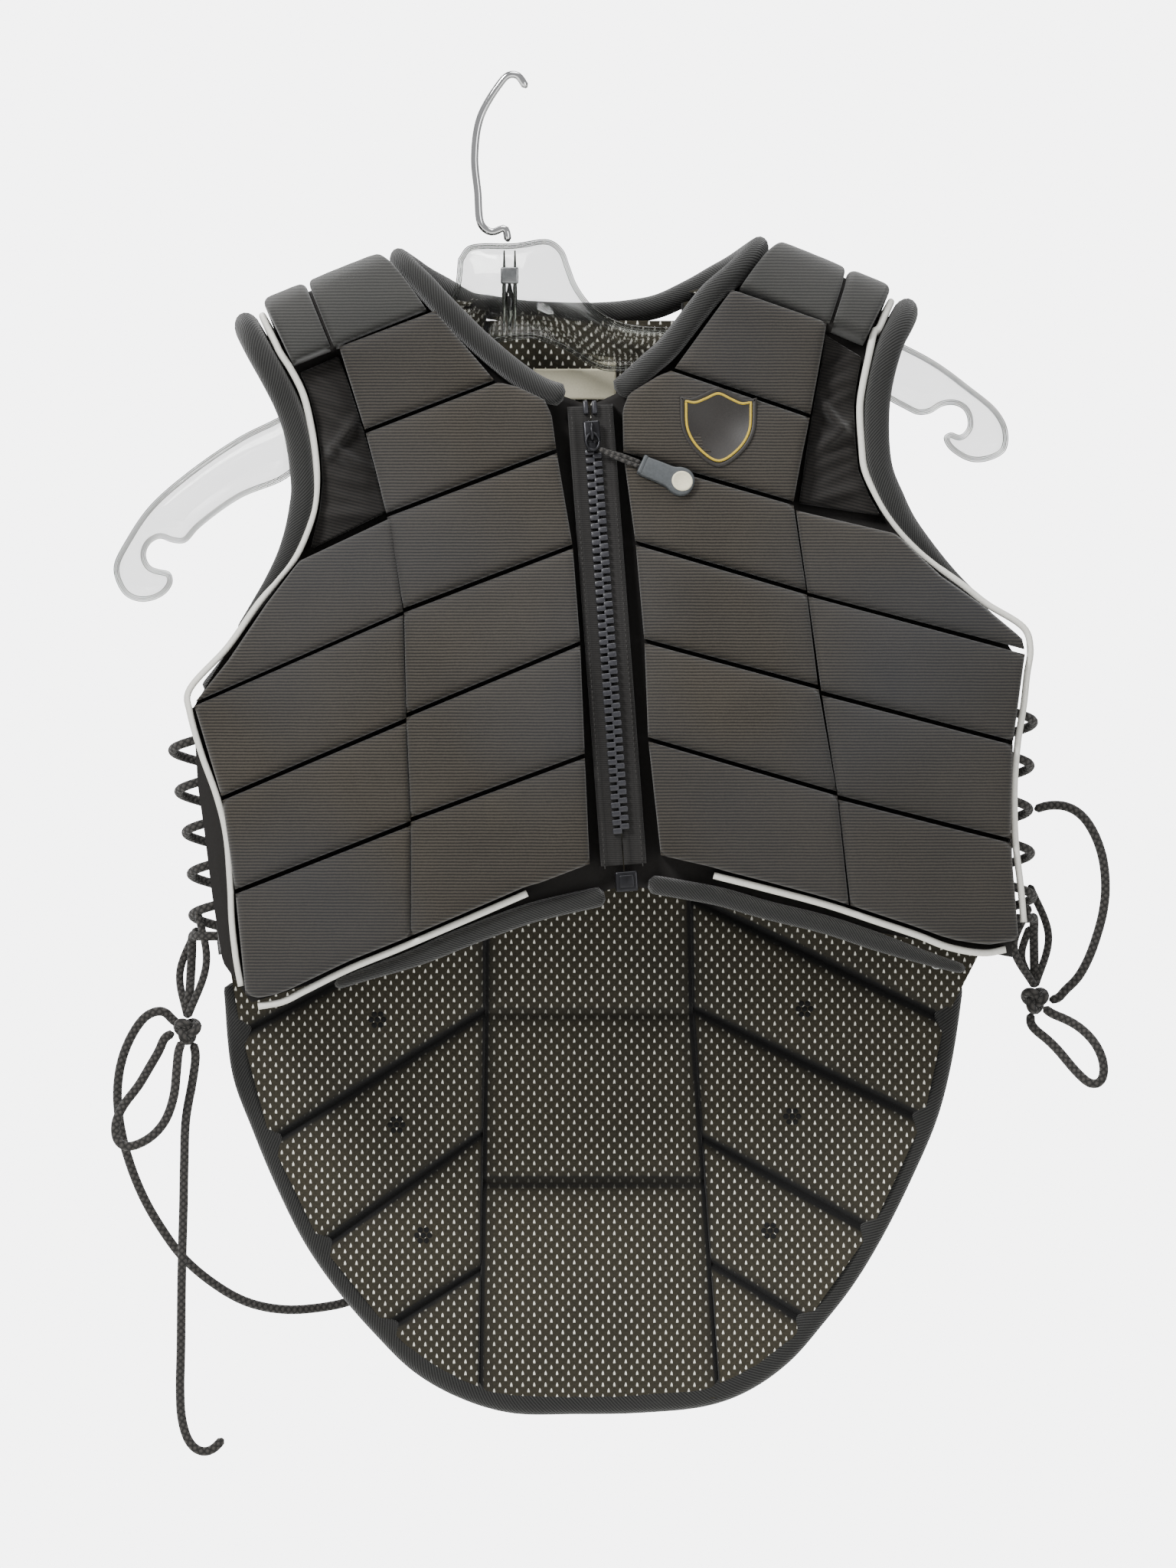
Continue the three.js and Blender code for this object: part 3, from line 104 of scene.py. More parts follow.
# Pattern tables. across is a share of half the chest from the centre line, down a share of the
# vest's length from the top of the neck roll.
GROOVES = {
    "right": {
        "inner": [
            (-0.394, 0.068, -0.623, 0.098), (-0.244, 0.13, -0.558, 0.172),
            (-0.098, 0.189, -0.506, 0.243), (-0.059, 0.27, -0.464, 0.324),
            (-0.041, 0.352, -0.458, 0.413), (-0.03, 0.447, -0.447, 0.501),
            (-0.018, 0.54, -0.447, 0.598),
        ],
        "outer": [
            (-0.495, 0.244, -0.712, 0.28), (-0.466, 0.326, -0.969, 0.403),
            (-0.458, 0.417, -0.882, 0.483), (-0.447, 0.504, -0.835, 0.562),
            (-0.447, 0.598, -0.826, 0.651),
        ],
        "neck_knee": [(-0.192, 0.134), (-0.126, 0.145), (-0.109, 0.158)],
        "arm_knee": [(-0.795, 0.318), (-0.887, 0.366), (-0.962, 0.399)],
        "hem_bow": [(-0.632, 0.627)],
    },
    "left": {
        "inner": [
            (0.329, 0.049, 0.555, 0.076), (0.183, 0.12, 0.512, 0.159),
            (0.063, 0.192, 0.471, 0.233), (0.092, 0.267, 0.503, 0.309),
            (0.113, 0.35, 0.53, 0.389), (0.122, 0.433, 0.575, 0.479),
            (0.153, 0.533, 0.604, 0.569),
        ],
        "outer": [
            (0.477, 0.238, 0.713, 0.257), (0.505, 0.31, 1.009, 0.359),
            (0.538, 0.394, 0.993, 0.436), (0.577, 0.482, 0.989, 0.519),
            (0.608, 0.57, 1.013, 0.605),
        ],
        "neck_knee": [(0.146, 0.125), (0.075, 0.14), (0.06, 0.154)],
        "arm_knee": [(0.828, 0.295), (0.926, 0.319), (1.022, 0.347)],
        "hem_bow": [(0.771, 0.594)],
    },
}
NECK_FRONT = {
    "right": [
        (-0.079, 0.142), (-0.128, 0.137), (-0.185, 0.125), (-0.281, 0.097), (-0.333, 0.079),
        (-0.377, 0.062),
    ],
    "left": [
        (0.048, 0.139), (0.087, 0.128), (0.126, 0.115), (0.165, 0.103), (0.209, 0.084),
        (0.248, 0.066), (0.282, 0.051),
    ],
}
NECK_BACK = [
    (-0.309, 0.061), (-0.259, 0.064), (-0.185, 0.068), (-0.074, 0.07), (0, 0.07), (0.074, 0.068),
    (0.148, 0.063), (0.222, 0.051),
]
ARM_FRONT = {
    "right": [
        (-0.776, 0.128), (-0.745, 0.15), (-0.721, 0.175), (-0.71, 0.201), (-0.706, 0.225),
        (-0.719, 0.249), (-0.745, 0.275), (-0.78, 0.298), (-0.817, 0.318), (-0.862, 0.341),
    ],
    "left": [
        (0.701, 0.104), (0.682, 0.128), (0.673, 0.15), (0.673, 0.185), (0.682, 0.206),
        (0.706, 0.227), (0.739, 0.248), (0.791, 0.271), (0.852, 0.294), (0.915, 0.314),
    ],
}
ARM_BACK = {
    "right": [
        (-0.767, 0.126), (-0.73, 0.167), (-0.71, 0.219), (-0.721, 0.271), (-0.773, 0.317),
        (-0.86, 0.359), (-0.94, 0.395),
    ],
    "left": [
        (0.68, 0.116), (0.656, 0.154), (0.643, 0.193), (0.665, 0.232), (0.739, 0.268),
        (0.85, 0.304), (0.95, 0.338),
    ],
}
SIDE_FRONT = {
    "right": [
        (-0.832, 0.656), (-0.902, 0.622), (-0.928, 0.564), (-0.946, 0.512), (-0.962, 0.473),
        (-0.969, 0.434), (-0.98, 0.41),
    ],
    "left": [
        (1.0, 0.618), (0.991, 0.558), (0.987, 0.512), (0.983, 0.473), (0.991, 0.434),
        (1.0, 0.395), (1.01, 0.363),
    ],
}
TAIL = [
    (-0.875, 0.64), (-0.872, 0.654), (-0.854, 0.716), (-0.808, 0.761), (-0.75, 0.81),
    (-0.68, 0.859), (-0.599, 0.9), (-0.518, 0.933), (-0.425, 0.965), (-0.32, 0.986),
    (-0.205, 0.998), (-0.054, 0.999), (0.098, 0.998), (0.261, 0.992), (0.353, 0.98),
    (0.445, 0.957), (0.527, 0.924), (0.597, 0.892), (0.667, 0.851), (0.736, 0.802),
    (0.795, 0.753), (0.828, 0.708), (0.852, 0.654), (0.856, 0.64),
]
HEM = {
    "right": [
        (-0.63, 0.641), (-0.558, 0.632), (-0.447, 0.619), (-0.338, 0.603), (-0.227, 0.588),
        (-0.153, 0.579), (0.018, 0.565),
    ],
    "left": [
        (0.122, 0.555), (0.205, 0.56), (0.294, 0.566), (0.403, 0.577), (0.551, 0.59),
        (0.662, 0.603), (0.763, 0.615), (0.845, 0.624), (0.885, 0.628),
    ],
}
PIPING = {
    "edge_right": [
        (-0.769, 0.1), (-0.739, 0.118), (-0.708, 0.14), (-0.689, 0.167), (-0.678, 0.193),
        (-0.675, 0.215), (-0.682, 0.239), (-0.708, 0.266), (-0.73, 0.281), (-0.769, 0.298),
        (-0.815, 0.318), (-0.887, 0.354), (-0.985, 0.394), (-0.98, 0.41), (-0.952, 0.445),
        (-0.915, 0.481), (-0.893, 0.512), (-0.882, 0.557), (-0.878, 0.588), (-0.867, 0.621),
        (-0.856, 0.642),
    ],
    "edge_left": [
        (0.677, 0.079), (0.658, 0.102), (0.64, 0.13), (0.632, 0.15), (0.636, 0.183),
        (0.643, 0.204), (0.669, 0.225), (0.701, 0.244), (0.752, 0.266), (0.821, 0.287),
        (0.882, 0.303), (0.936, 0.318), (1.03, 0.34), (1.042, 0.357), (1.034, 0.378),
        (1.026, 0.404), (1.012, 0.435), (1.004, 0.471), (1.006, 0.518), (1.019, 0.559),
        (1.026, 0.588),
    ],
    "hem_right": [
        (-0.815, 0.659), (-0.756, 0.655), (-0.704, 0.646), (-0.595, 0.627), (-0.484, 0.611),
        (-0.338, 0.589), (-0.168, 0.563),
    ],
    "hem_left": [
        (0.279, 0.548), (0.403, 0.559), (0.551, 0.573), (0.662, 0.586), (0.771, 0.599),
        (0.845, 0.609), (0.933, 0.614), (0.983, 0.611),
    ],
}
ZIP = [(-0.018, 0.149), (0.067, 0.556)]
ZIP_BOX = (0.07, 0.553)
SLIDER_DOWN = 0.173
BADGE_PLACE = (0.291, 0.169)
LABEL_CORNERS = [(-0.152, 0.117), (0.046, 0.143)]

# Edges of the strap over the shoulder: the turn round the roll, then distances along the roll
# as shares of its radius, for the neck edge, the arm edge and the piping
STRAP = [
    (8, 0.62, -1.68, -1.46), (30, 0.5, -1.73, -1.5), (50, 0.41, -1.75, -1.52),
    (70, 0.36, -1.76, -1.53), (90, 0.34, -1.76, -1.53), (115, 0.4, -1.75, -1.52),
    (140, 0.55, -1.72, -1.49), (160, 0.74, -1.69, -1.46), (180, 0.95, -1.65, -1.43),
]
STRAP_COLUMN = {"neck": 1, "arm": 2, "piping": 3}
ARM_REACH = {"right": 1, "left": 0.955}
# name, first turn, neck end low and top, arm end low and top
SHOULDER_BLOCKS = {
    "right": [("inner", 6, 0.41, 0.12, -0.79, -0.79), ("outer", 7, -0.93, -0.93, -1.4, -1.46)],
    "left": [("inner", 16, 0.36, 0.12, -0.78, -0.74), ("outer", 18, -0.95, -0.86, -1.34, -1.4)],
}
INSET = {
    "right": {
        "divider": [(-0.505, 0.242), (-0.562, 0.172), (-0.598, 0.132), (-0.625, 0.106)],
        "arm": [
            (-0.692, 0.274), (-0.668, 0.24), (-0.66, 0.215), (-0.664, 0.193), (-0.675, 0.166),
            (-0.695, 0.138), (-0.718, 0.12),
        ],
    },
    "left": {
        "divider": [(0.484, 0.235), (0.517, 0.16), (0.54, 0.115), (0.552, 0.082)],
        "arm": [
            (0.685, 0.245), (0.654, 0.226), (0.628, 0.205), (0.621, 0.183), (0.617, 0.15),
            (0.624, 0.131), (0.638, 0.106),
        ],
    },
}
# down, right edge, left edge of the spine section at each crease
SPINE = [
    (0.085, -0.27, 0.205), (0.23, -0.27, 0.222), (0.376, -0.27, 0.222), (0.522, -0.27, 0.224),
    (0.667, -0.272, 0.232), (0.811, -0.279, 0.262), (0.974, -0.286, 0.295), (0.996, -0.288, 0.299),
]
# where each groove of a wing leaves the spine, and its place at the edge
WING_GROOVES = {
    "right": [
        (0.115, -0.675, 0.2), (0.19, -0.7, 0.29), (0.285, -0.965, 0.412), (0.38, -0.944, 0.49),
        (0.475, -0.915, 0.575), (0.571, -0.861, 0.684), (0.665, -0.79, 0.776),
        (0.769, -0.668, 0.865), (0.885, -0.508, 0.935),
    ],
    "left": [
        (0.11, 0.62, 0.18), (0.19, 0.64, 0.26), (0.285, 1.012, 0.38), (0.38, 1.0, 0.47),
        (0.475, 1.005, 0.56), (0.568, 0.842, 0.672), (0.663, 0.79, 0.757),
        (0.773, 0.664, 0.852), (0.88, 0.508, 0.93),
    ],
}
WING_TOP = {
    "right": [(-0.27, 0.08), (-0.357, 0.072), (-0.72, 0.125)],
    "left": [(0.205, 0.07), (0.277, 0.063), (0.628, 0.114)],
}
WING_FOOT = {
    "right": [(-0.292, 0.986), (-0.36, 0.976), (-0.44, 0.958)],
    "left": [(0.3, 0.984), (0.38, 0.972), (0.45, 0.954)],
}
LACING = {"right": (0.425, 0.6, 4 * MM), "left": (0.4, 0.585, 0)}
LACING_EDGE = {
    "right": [
        (-0.965, 0.405), (-0.945, 0.434), (-0.935, 0.458), (-0.921, 0.49), (-0.905, 0.52),
        (-0.893, 0.56), (-0.893, 0.6), (-0.889, 0.615),
    ],
    "left": [
        (1.005, 0.37), (1.0, 0.41), (0.993, 0.44), (0.986, 0.475), (0.988, 0.51),
        (0.995, 0.55), (1.0, 0.6),
    ],
}
ROLL_POINT = {"right": (-0.477, 0.085), "left": (0.39, 0.075)}

# Free cords: across, down, and depth as a share of the shoulder radius
KNOTS = {"right": (-0.989, 0.68, -0.1), "left": (1.057, 0.654, 0.05)}
CORDS = {
    "bow_loop_right": [
        (-1.01, 0.697, -0.25), (-1.014, 0.714, -0.37), (-1.02, 0.735, -0.4), (-1.04, 0.756, -0.45),
        (-1.07, 0.769, -0.5), (-1.102, 0.776, -0.5), (-1.134, 0.779, -0.5), (-1.156, 0.774, -0.45),
        (-1.162, 0.762, -0.4), (-1.152, 0.75, -0.35), (-1.135, 0.74, -0.3), (-1.108, 0.728, -0.25),
        (-1.081, 0.712, -0.16), (-1.055, 0.696, -0.1), (-1.03, 0.684, -0.05),
    ],
    "tail_end_right": [
        (-0.974, 0.694, -0.05), (-0.975, 0.72, -0.12), (-0.992, 0.755, -0.25),
        (-0.996, 0.791, -0.25), (-0.998, 0.83, -0.25), (-1.001, 0.87, -0.25),
        (-1.003, 0.91, -0.25), (-1.004, 0.95, -0.25), (-1.006, 0.985, -0.25),
        (-1.002, 1.01, -0.25), (-0.984, 1.03, -0.25), (-0.958, 1.038, -0.25),
        (-0.93, 1.037, -0.25), (-0.902, 1.027, -0.25),
    ],
    "swag_right": [
        (-1.015, 0.674, 0.02), (-1.045, 0.664, 0.05), (-1.085, 0.667, 0.1), (-1.12, 0.682, 0.15),
        (-1.148, 0.705, 0.2), (-1.16, 0.733, 0.3), (-1.152, 0.765, 0.4), (-1.13, 0.795, 0.5),
        (-1.096, 0.825, 0.65), (-1.052, 0.852, 0.8), (-1.002, 0.876, 1.0), (-0.93, 0.898, 1.2),
        (-0.852, 0.914, 1.45), (-0.765, 0.921, 1.7), (-0.68, 0.92, 1.9), (-0.6, 0.914, 1.92),
        (-0.53, 0.9, 1.93), (-0.485, 0.883, 1.88), (-0.455, 0.87, 1.81), (-0.45, 0.868, 1.75),
        (-0.45, 0.868, 1.675),
    ],
    "big_loop_left": [
        (1.056, 0.4925, 0), (1.09, 0.489, 0.04), (1.135, 0.49, 0.08), (1.172, 0.498, 0.1),
        (1.202, 0.514, 0.12), (1.222, 0.535, 0.14), (1.228, 0.56, 0.15), (1.222, 0.58, 0.15),
        (1.207, 0.6, 0.14), (1.186, 0.62, 0.12), (1.158, 0.637, 0.1), (1.125, 0.648, 0.08),
        (1.095, 0.654, 0.06),
    ],
    "bow_loop_left": [
        (1.092, 0.665, -0.1), (1.118, 0.669, -0.15), (1.148, 0.674, -0.2), (1.178, 0.682, -0.25),
        (1.202, 0.692, -0.3), (1.218, 0.704, -0.3), (1.222, 0.716, -0.3), (1.212, 0.725, -0.3),
        (1.192, 0.726, -0.3), (1.166, 0.719, -0.25), (1.14, 0.709, -0.2), (1.112, 0.697, -0.15),
        (1.083, 0.687, -0.1), (1.058, 0.68, -0.03), (1.045, 0.672, 0.02),
    ],
}
CORD_ENDS = {
    "bow_loop_right": ("right", "right"), "tail_end_right": ("right", None),
    "swag_right": ("right", None), "big_loop_left": (None, "left"), "bow_loop_left": ("left", "left"),
}
CORD_LENGTHS = {
    "bow_loop_right": 0.133, "tail_end_right": 0.214, "swag_right": 0.293, "big_loop_left": 0.126,
    "bow_loop_left": 0.104,
}
HOOK_PATH = [
    (0, -1.012), (-0.023, -0.93), (-0.105, -0.951), (-0.166, -0.908), (-0.19, -0.699),
    (-0.209, -0.484), (-0.175, -0.243), (-0.066, -0.048), (0, 0.023), (0.057, 0.02), (0.114, -0.057),
]


# Pattern geometry
def spots(rows):
    """Pattern places in metres, x from the centre line and z from the top of the neck roll."""
    return [(row[0] * HALF_CHEST, -row[1] * VEST_LENGTH) for row in rows]


def roll_frame(side):
    point = spots([ROLL_POINT[side]])[0]
    up = (SIGN[side] * math.sin(SHOULDER_SLOPE), math.cos(SHOULDER_SLOPE))
    inward = (-SIGN[side] * math.cos(SHOULDER_SLOPE), math.sin(SHOULDER_SLOPE))
    return point, up, inward


ROLLS = {side: roll_frame(side) for side in SIDES}
BETWEEN_ROLLS = (ROLLS["right"][0][0] + ROLLS["left"][0][0]) / 2


def above_roll(side, x, z):
    point, up, _ = ROLLS[side]
    return (x - point[0]) * up[0] + (z - point[1]) * up[1]


def strap_spot(side, along, degrees):
    point, up, inward = ROLLS[side]
    arc = SHOULDER_RADIUS * math.radians(degrees)
    return (point[0] + along * inward[0] + arc * up[0], point[1] + along * inward[1] + arc * up[1])


def over_roll(side, along, turn):
    """A strip's key on the shoulder, on the front up to the crest and on the back past it."""
    front = turn <= 90
    return (*strap_spot(side, along, turn if front else 180 - turn), FRONT if front else BACK, 0.0)


def on_vest(x, z, height, face):
    """Points at a height over the outer skin, for arrays of pattern places. Above a shoulder roll
    the pattern wraps round it."""
    x, z, height = np.broadcast_arrays(*(np.asarray(v, float) for v in (x, z, height)))
    rises = {side: above_roll(side, x, z) for side in SIDES}
    below = -(rises["right"] + rises["left"]
              + np.hypot(rises["right"] - rises["left"], SHOULDER_RADIUS / 2)) / 2
    fall = np.clip(below / CHEST_DROP, 0, 1)
    fall = fall * fall * (3 - 2 * fall)
    swell = FRONT_SWELL if face == FRONT else BACK_SWELL
    share = np.minimum(1, np.abs(x) / HALF_CHEST)
    depth = SHOULDER_RADIUS + swell * fall * (1 - share ** 1.8)
    out = np.stack([x + VEST_X, face * (depth + height), z + VEST_Z], axis=-1)
    for side in SIDES:
        mine = (x < BETWEEN_ROLLS) == (side == "right")
        over = mine & (rises[side] > 0)
        if over.any():
            _, up, _ = ROLLS[side]
            radius = SHOULDER_RADIUS + height[over]
            turn = rises[side][over] / SHOULDER_RADIUS
            lift = radius * np.sin(turn) - rises[side][over]
            out[over] = np.stack([
                x[over] + lift * up[0] + VEST_X, face * radius * np.cos(turn),
                z[over] + lift * up[1] + VEST_Z], axis=-1)
    return out


def skin_normal(x, z, height, face):
    middle = on_vest(x, z, height, face)
    step = 1 * MM
    aside = on_vest(x + step, z, height, face) - middle
    upward = on_vest(x, z + step, height, face) - middle
    normal = np.cross(aside, upward)
    normal /= np.linalg.norm(normal, axis=-1, keepdims=True)
    out = on_vest(x, z, height + step, face) - middle
    return normal * np.sign((normal * out).sum(-1, keepdims=True))


def arc_lengths(points):
    return np.concatenate([[0], np.cumsum(np.linalg.norm(np.diff(points, axis=0), axis=1))])


def line_at(points, shares):
    """Points at shares of a polyline's length."""
    points = np.asarray(points, float)
    along = arc_lengths(points)
    at = np.asarray(shares, float) * along[-1]
    return np.stack([np.interp(at, along, points[:, k]) for k in range(points.shape[1])], axis=-1)


def line_length(points):
    return float(np.linalg.norm(np.diff(np.asarray(points, float), axis=0), axis=1).sum())


def smooth_line(points, step):
    """A centripetal Catmull-Rom line through the points, resampled to even steps."""
    p = np.asarray(points, float)
    p = np.vstack([2 * p[0] - p[1], p, 2 * p[-1] - p[-2]])
    out = []
    for i in range(1, len(p) - 2):
        a, b, c, d = p[i - 1:i + 3]
        t = [0.0]
        for first, second in ((a, b), (b, c), (c, d)):
            t.append(t[-1] + max(1e-9, np.linalg.norm(second - first)) ** 0.5)
        for s in np.linspace(t[1], t[2], 12, endpoint=False):
            a1 = (t[1] - s) / (t[1] - t[0]) * a + (s - t[0]) / (t[1] - t[0]) * b
            a2 = (t[2] - s) / (t[2] - t[1]) * b + (s - t[1]) / (t[2] - t[1]) * c
            a3 = (t[3] - s) / (t[3] - t[2]) * c + (s - t[2]) / (t[3] - t[2]) * d
            b1 = (t[2] - s) / (t[2] - t[0]) * a1 + (s - t[0]) / (t[2] - t[0]) * a2
            b2 = (t[3] - s) / (t[3] - t[1]) * a2 + (s - t[1]) / (t[3] - t[1]) * a3
            out.append((t[2] - s) / (t[2] - t[1]) * b1 + (s - t[1]) / (t[2] - t[1]) * b2)
    out.append(p[-2])
    count = max(2, round(line_length(out) / step))
    return line_at(out, np.linspace(0, 1, count + 1))


def ripple(points, size, seed):
    """Even, seeded noise from -1 to 1 at each point, size metres across."""
    flat = np.asarray(points, float).reshape(-1, 3) / size + seed * 7.3
    values = np.array([noise.noise(Vector(p)) for p in flat])
    return values.reshape(np.asarray(points).shape[:-1])


def cloth_ripple(place, size, seed):
    """The ripple of a grid of pattern places."""
    return ripple(np.concatenate([place, np.zeros(place.shape[:2] + (1,))], axis=-1), size, seed)


# Mesh makers
def mesh_piece(name, points, faces, uvs=None):
    """An object at the origin. uvs has one pair for each corner of each face, in metres."""
    mesh = bpy.data.meshes.new(name)
    mesh.from_pydata([tuple(p) for p in np.asarray(points, float)], [], [tuple(map(int, f)) for f in faces])
    if uvs is not None:
        layer = mesh.uv_layers.new(name="UVMap")
        layer.data.foreach_set("uv", np.asarray(uvs, np.float32).ravel())
    mesh.shade_smooth()
    obj = bpy.data.objects.new(name, mesh)
    bpy.context.scene.collection.objects.link(obj)
    return obj


def outward(obj):
    """Turns the faces outwards."""
    work = bmesh.new()
    work.from_mesh(obj.data)
    bmesh.ops.recalc_face_normals(work, faces=work.faces)
    work.to_mesh(obj.data)
    work.free()
    return obj


def grid_index(rows, columns):
    return np.arange(rows * columns).reshape(rows, columns)


def grid_quads(index):
    return np.stack([index[:-1, :-1], index[:-1, 1:], index[1:, 1:], index[1:, :-1]], axis=-1).reshape(-1, 4)


def shell(name, outer, inner, uv):
    """A closed body between two grids of points, with uv the pattern place of each point."""
    rows, columns = outer.shape[:2]
    index = grid_index(rows, columns)
    total = rows * columns
    rim = np.concatenate([index[0, :-1], index[:-1, -1], index[-1, :0:-1], index[:0:-1, 0]])
    after = np.roll(rim, -1)
    walls = np.stack([after, rim, rim + total, after + total], axis=-1)
    faces = np.concatenate([grid_quads(index), grid_quads(index + total)[:, ::-1], walls])
    points = np.concatenate([outer.reshape(-1, 3), inner.reshape(-1, 3)])
    corners = np.concatenate([uv.reshape(-1, 2)] * 2)[faces.ravel()]
    return outward(mesh_piece(name, points, faces, corners))


def tube(name, rings, along, girth):
    """A closed tube through rings of points. Its uv runs along and round it, in metres."""
    count, sides = rings.shape[:2]
    index = grid_index(count, sides)
    index = np.hstack([index, index[:, :1]])
    faces = [tuple(f) for f in grid_quads(index)]
    u = np.repeat(np.asarray(along)[:, None], sides + 1, axis=1)
    v = np.repeat(np.linspace(0, girth, sides + 1)[None, :], count, axis=0)
    place = np.stack([u, v], axis=-1).reshape(-1, 2)
    corner = grid_quads(grid_index(count, sides + 1))
    uvs = list(place[corner.ravel()])
    for ring, row in ((index[0, :-1][::-1], 0), (index[-1, :-1], count - 1)):
        faces.append(tuple(ring))
        uvs += [(along[row], girth * k / sides) for k in range(sides)]
    return outward(mesh_piece(name, rings.reshape(-1, 3), faces, uvs))


def joined(name, *parts):
    """One object from several, keeping their uv maps and materials."""
    work = bmesh.new()
    materials = []
    for part in parts:
        mesh = part.data
        shift = {}
        for i, material in enumerate(mesh.materials):
            if material not in materials:
                materials.append(material)
            shift[i] = materials.index(material)
        first = len(work.faces)
        work.from_mesh(mesh)
        work.faces.ensure_lookup_table()
        for face in work.faces[first:]:
            face.material_index = shift.get(face.material_index, 0)
        bpy.data.objects.remove(part)
    mesh = bpy.data.meshes.new(name)
    work.to_mesh(mesh)
    work.free()
    for material in materials:
        mesh.materials.append(material)
    obj = bpy.data.objects.new(name, mesh)
    bpy.context.scene.collection.objects.link(obj)
    return obj


def coated(obj, key):
    """A part with one more finish, for pieces that have several."""
    obj.data.materials.append(FINISH[key])
    return obj


def finished(obj, material, slot, *replaced, fill=None):
    """Gives a piece its material, its body and the solids that it stands for. slot is not used."""
    if material is not None:
        obj.data.materials.clear()
        obj.data.materials.append(material)
    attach(obj, "root")
    if replaced:
        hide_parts(*replaced)
    return obj


def frames_along(line):
    """Two directions square to a line at each point, carried along it without twist."""
    tangent = np.gradient(line, axis=0)
    tangent /= np.linalg.norm(tangent, axis=1, keepdims=True)
    start = np.array([0.0, 1.0, 0.0]) if abs(tangent[0][1]) < 0.9 else np.array([1.0, 0.0, 0.0])
    side = np.empty_like(line)
    carried = start
    for i, t in enumerate(tangent):
        carried = carried - t * (carried @ t)
        carried /= np.linalg.norm(carried)
        side[i] = carried
    return side, np.cross(tangent, side)


def round_bar(name, line, radii, sides=12, ends=True):
    """A round bar along a line. Its ends are domed where asked."""
    line = np.asarray(line, float)
    radii = np.broadcast_to(radii, len(line)).astype(float)
    side, other = frames_along(line)
    along = arc_lengths(line)
    if ends:
        dome = 1 - np.clip(1 - np.minimum(along, along[-1] - along) / radii, 0, 1) ** 2
        radii = radii * np.sqrt(np.clip(dome, 0.1, 1))
    angle = np.linspace(0, 2 * math.pi, sides, endpoint=False)
    across, upwards = np.cos(angle)[None, :, None], np.sin(angle)[None, :, None]
    rings = line[:, None] + radii[:, None, None] * (across * side[:, None] + upwards * other[:, None])
    return tube(name, rings, along, 2 * math.pi * float(radii.max()))


# Finishes
def linear(text):
    """An sRGB hex colour as linear RGBA."""
    values = [int(text[i:i + 2], 16) / 255 for i in (1, 3, 5)]
    return (*[v / 12.92 if v <= 0.04045 else ((v + 0.055) / 1.055) ** 2.4 for v in values], 1.0)


def add(tree, kind, links=None, **settings):
    """Adds a node with its settings, and links or sets its inputs by name or number."""
    made = tree.nodes.new(kind)
    for key, value in settings.items():
        setattr(made, key, value)
    for key, value in (links or {}).items():
        if isinstance(value, bpy.types.NodeSocket):
            tree.links.new(value, made.inputs[key])
        else:
            made.inputs[key].default_value = value
    return made.outputs[0] if len(made.outputs) else made


def surface(name):
    """A material with an empty principled surface."""
    material = bpy.data.materials.new(name)
    material.use_nodes = True
    tree = material.node_tree
    tree.nodes.clear()
    shader = tree.nodes.new("ShaderNodeBsdfPrincipled")
    add(tree, "ShaderNodeOutputMaterial", {"Surface": shader.outputs[0]})
    return material, tree, shader


def set_inputs(tree, shader, values):
    for key, value in values.items():
        if isinstance(value, bpy.types.NodeSocket):
            tree.links.new(value, shader.inputs[key])
        else:
            shader.inputs[key].default_value = value


def coordinate(tree, source):
    """The x, y and z outputs of Object or UV coordinates."""
    made = tree.nodes.new("ShaderNodeTexCoord")
    split = tree.nodes.new("ShaderNodeSeparateXYZ")
    tree.links.new(made.outputs[source], split.inputs[0])
    return made.outputs[source], split.outputs


